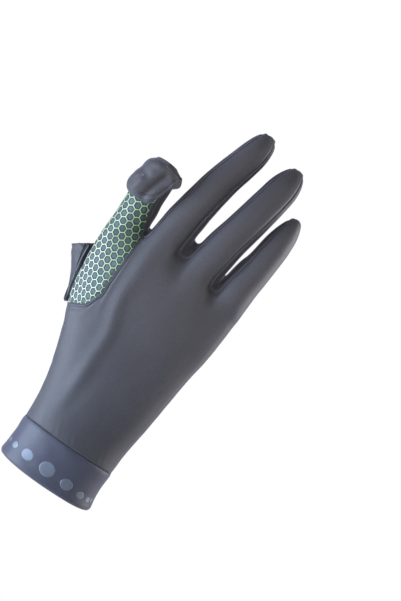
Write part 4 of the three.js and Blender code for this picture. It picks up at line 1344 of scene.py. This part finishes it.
def cuff_dot(name, dot):
    turn = math.radians(dot.angle)
    pace = math.hypot(WRIST_WIDE * math.cos(turn), WRIST_DEEP * math.sin(turn))
    points = []
    for share, lift in DOT_RINGS:
        reach = share * dot.diameter / 2
        for k in range(DOT_SIDES):
            around = 2 * math.pi * k / DOT_SIDES
            angle = turn + reach * math.cos(around) / pace
            z = dot.z + DOT_FLATNESS * reach * math.sin(around)
            deep = -DOT_AIM * math.cos(angle) * WRIST_DEEP / WRIST_WIDE
            far = np.array([DOT_AIM * math.sin(angle), deep, 0])
            start = place(far + [CUFF_CENTRE, 0, z])
            hit, normal, _, _ = cuff_tree.ray_cast(Vector(start), Vector(-far).normalized())
            points.append(np.array(hit) + np.array(normal) * lift * MM)
    faces = tube_of(len(DOT_RINGS), DOT_SIDES)
    finish_piece(object_from(name, points, faces), film, [name])


cuff_tree = tree_of(cuff)
for number, dot in enumerate(DOTS, 1):
    cuff_dot(f"cuff_dot_{number}", dot)

# The raised grip prints on the palm, each inside its corners as seen from the palm
GRIPS = table(
    "name corners pitch pad turn",
    ("grip_middle", [(-27, 121), (-15.5, 121), (-15, 141), (-26.5, 141)], 3.6, 1.75, 0),
    ("grip_ring", [(1.5, 117), (14, 117), (14, 137), (2, 137)], 3.6, 1.75, 0),
    ("grip_heel", [(4, 66), (22, 58), (30.5, 104), (24, 106)], 4.6, 2.2, 0),
    ("grip_chevron_inner", [(-22, 92), (-17, 84), (-9, 90), (-14, 98)], 2.5, 1.0, 30),
    ("grip_chevron_outer", [(10, 101), (15, 94), (21.5, 106), (16, 110)], 2.5, 1.0, 30),
)
GRIP_RAISE = 0.4
GRIP_AIM = 90  # the lattice starts this far outside the palm, its outline lies as far behind
palm_skin = panels["palm_panel"].skin_object()
for name, corners, pitch, pad, turn in GRIPS:
    outline = object_from(name + "_outline", place([(x, -GRIP_AIM, z) for x, z in corners]), [range(4)])
    x, z = np.mean(corners, axis=0)
    centre = place((x, GRIP_AIM, z)).tolist()
    sizes = {"Pitch": pitch * MM, "Pad": pad * MM, "Raise": GRIP_RAISE * MM}
    values = {"Cloth": palm_skin, "Turn": math.radians(turn), "Centre": centre, **sizes}
    piece = grown(name, outline, grip_tree, silicone, values)
    piece.data.shade_flat()
    finish_piece(piece, silicone, [name])
bpy.data.objects.remove(palm_skin)


# Camera, floor and light
def add_camera():
    data = bpy.data.cameras.new("camera")
    data.lens = LENS
    data.sensor_width = SENSOR
    camera = linked("camera", data)
    turn = BACK.to_track_quat("Z", "Y").to_matrix() @ Matrix.Rotation(PHOTO_LEAN, 3, "Z")
    camera.matrix_world = Matrix.Translation(VIEWPOINT) @ turn.to_4x4()
    bpy.context.scene.camera = camera


def add_floor(height=-0.28, half=0.5):
    corners = [(-half, -half, height), (half, -half, height), (half, half, height), (-half, half, height)]
    floor = object_from("floor", corners, [range(4)], smooth_shading=False)
    pale = {"Base_Color": (0.93, 0.93, 0.94, 1), "Roughness": 0.9, "Specular_IOR_Level": 0.1}
    floor.data.materials.append(shader("pale_floor", **pale)[0])


def add_light(name, place_at, target, spread, power, colour):
    """An area light with a width and a height, or a spot with an angle in degrees."""
    is_area = isinstance(spread, tuple)
    data = bpy.data.lights.new(name, "AREA" if is_area else "SPOT")
    if is_area:
        data.shape = "RECTANGLE"
        data.size, data.size_y = spread
    else:
        data.spot_size = math.radians(spread)
        data.spot_blend = 1.0
        data.shadow_soft_size = 0.12
    data.energy = power
    data.color = colour
    light = linked(name, data)
    light.location = place_at
    light.rotation_euler = (Vector(target) - Vector(place_at)).to_track_quat("-Z", "Y").to_euler()


def add_world(strength=0.25):
    """A dim white room that the camera sees as plain white."""
    world = bpy.data.worlds.new("studio")
    world.use_nodes = True
    t = Tree(world.node_tree)
    background, output = (world.node_tree.nodes[name] for name in ("Background", "World Output"))
    background.inputs["Color"].default_value = (1, 1, 1, 1)
    background.inputs["Strength"].default_value = strength
    seen = t.node("Background", {"Color": (1, 1, 1, 1), "Strength": 1.0})
    is_seen = t.node("LightPath")["Is Camera Ray"]
    t.plug(output.inputs["Surface"], t.node("MixShader", {0: is_seen, 1: background.outputs, 2: seen}))
    bpy.context.scene.world = world


add_camera()
add_floor()
add_world()
add_light("key", (-0.62, -0.28, -0.18), (-0.02, 0, 0.05), (0.35, 0.5), 11.5, (0.68, 0.8, 1.0))
add_light("rim", (0.7, 0.16, 0.36), (0.01, 0, 0.16), (0.3, 0.6), 8, (0.94, 0.96, 1))
add_light("finger_fill", (0.16, -0.8, 0.3), (0.038, 0, 0.195), 9, 62, (1.0, 0.96, 1.0))
add_light("thumb_fill", (-0.52, -0.36, 0.16), (-0.064, 0.02, 0.112), 4.4, 95, (0.5, 0.7, 1.0))
add_light("low_fill", (-0.6, -0.62, -0.06), (-0.025, -0.01, 0.03), 16, 34, (0.52, 0.72, 1.0))
bpy.context.scene.view_settings.view_transform = "Standard"
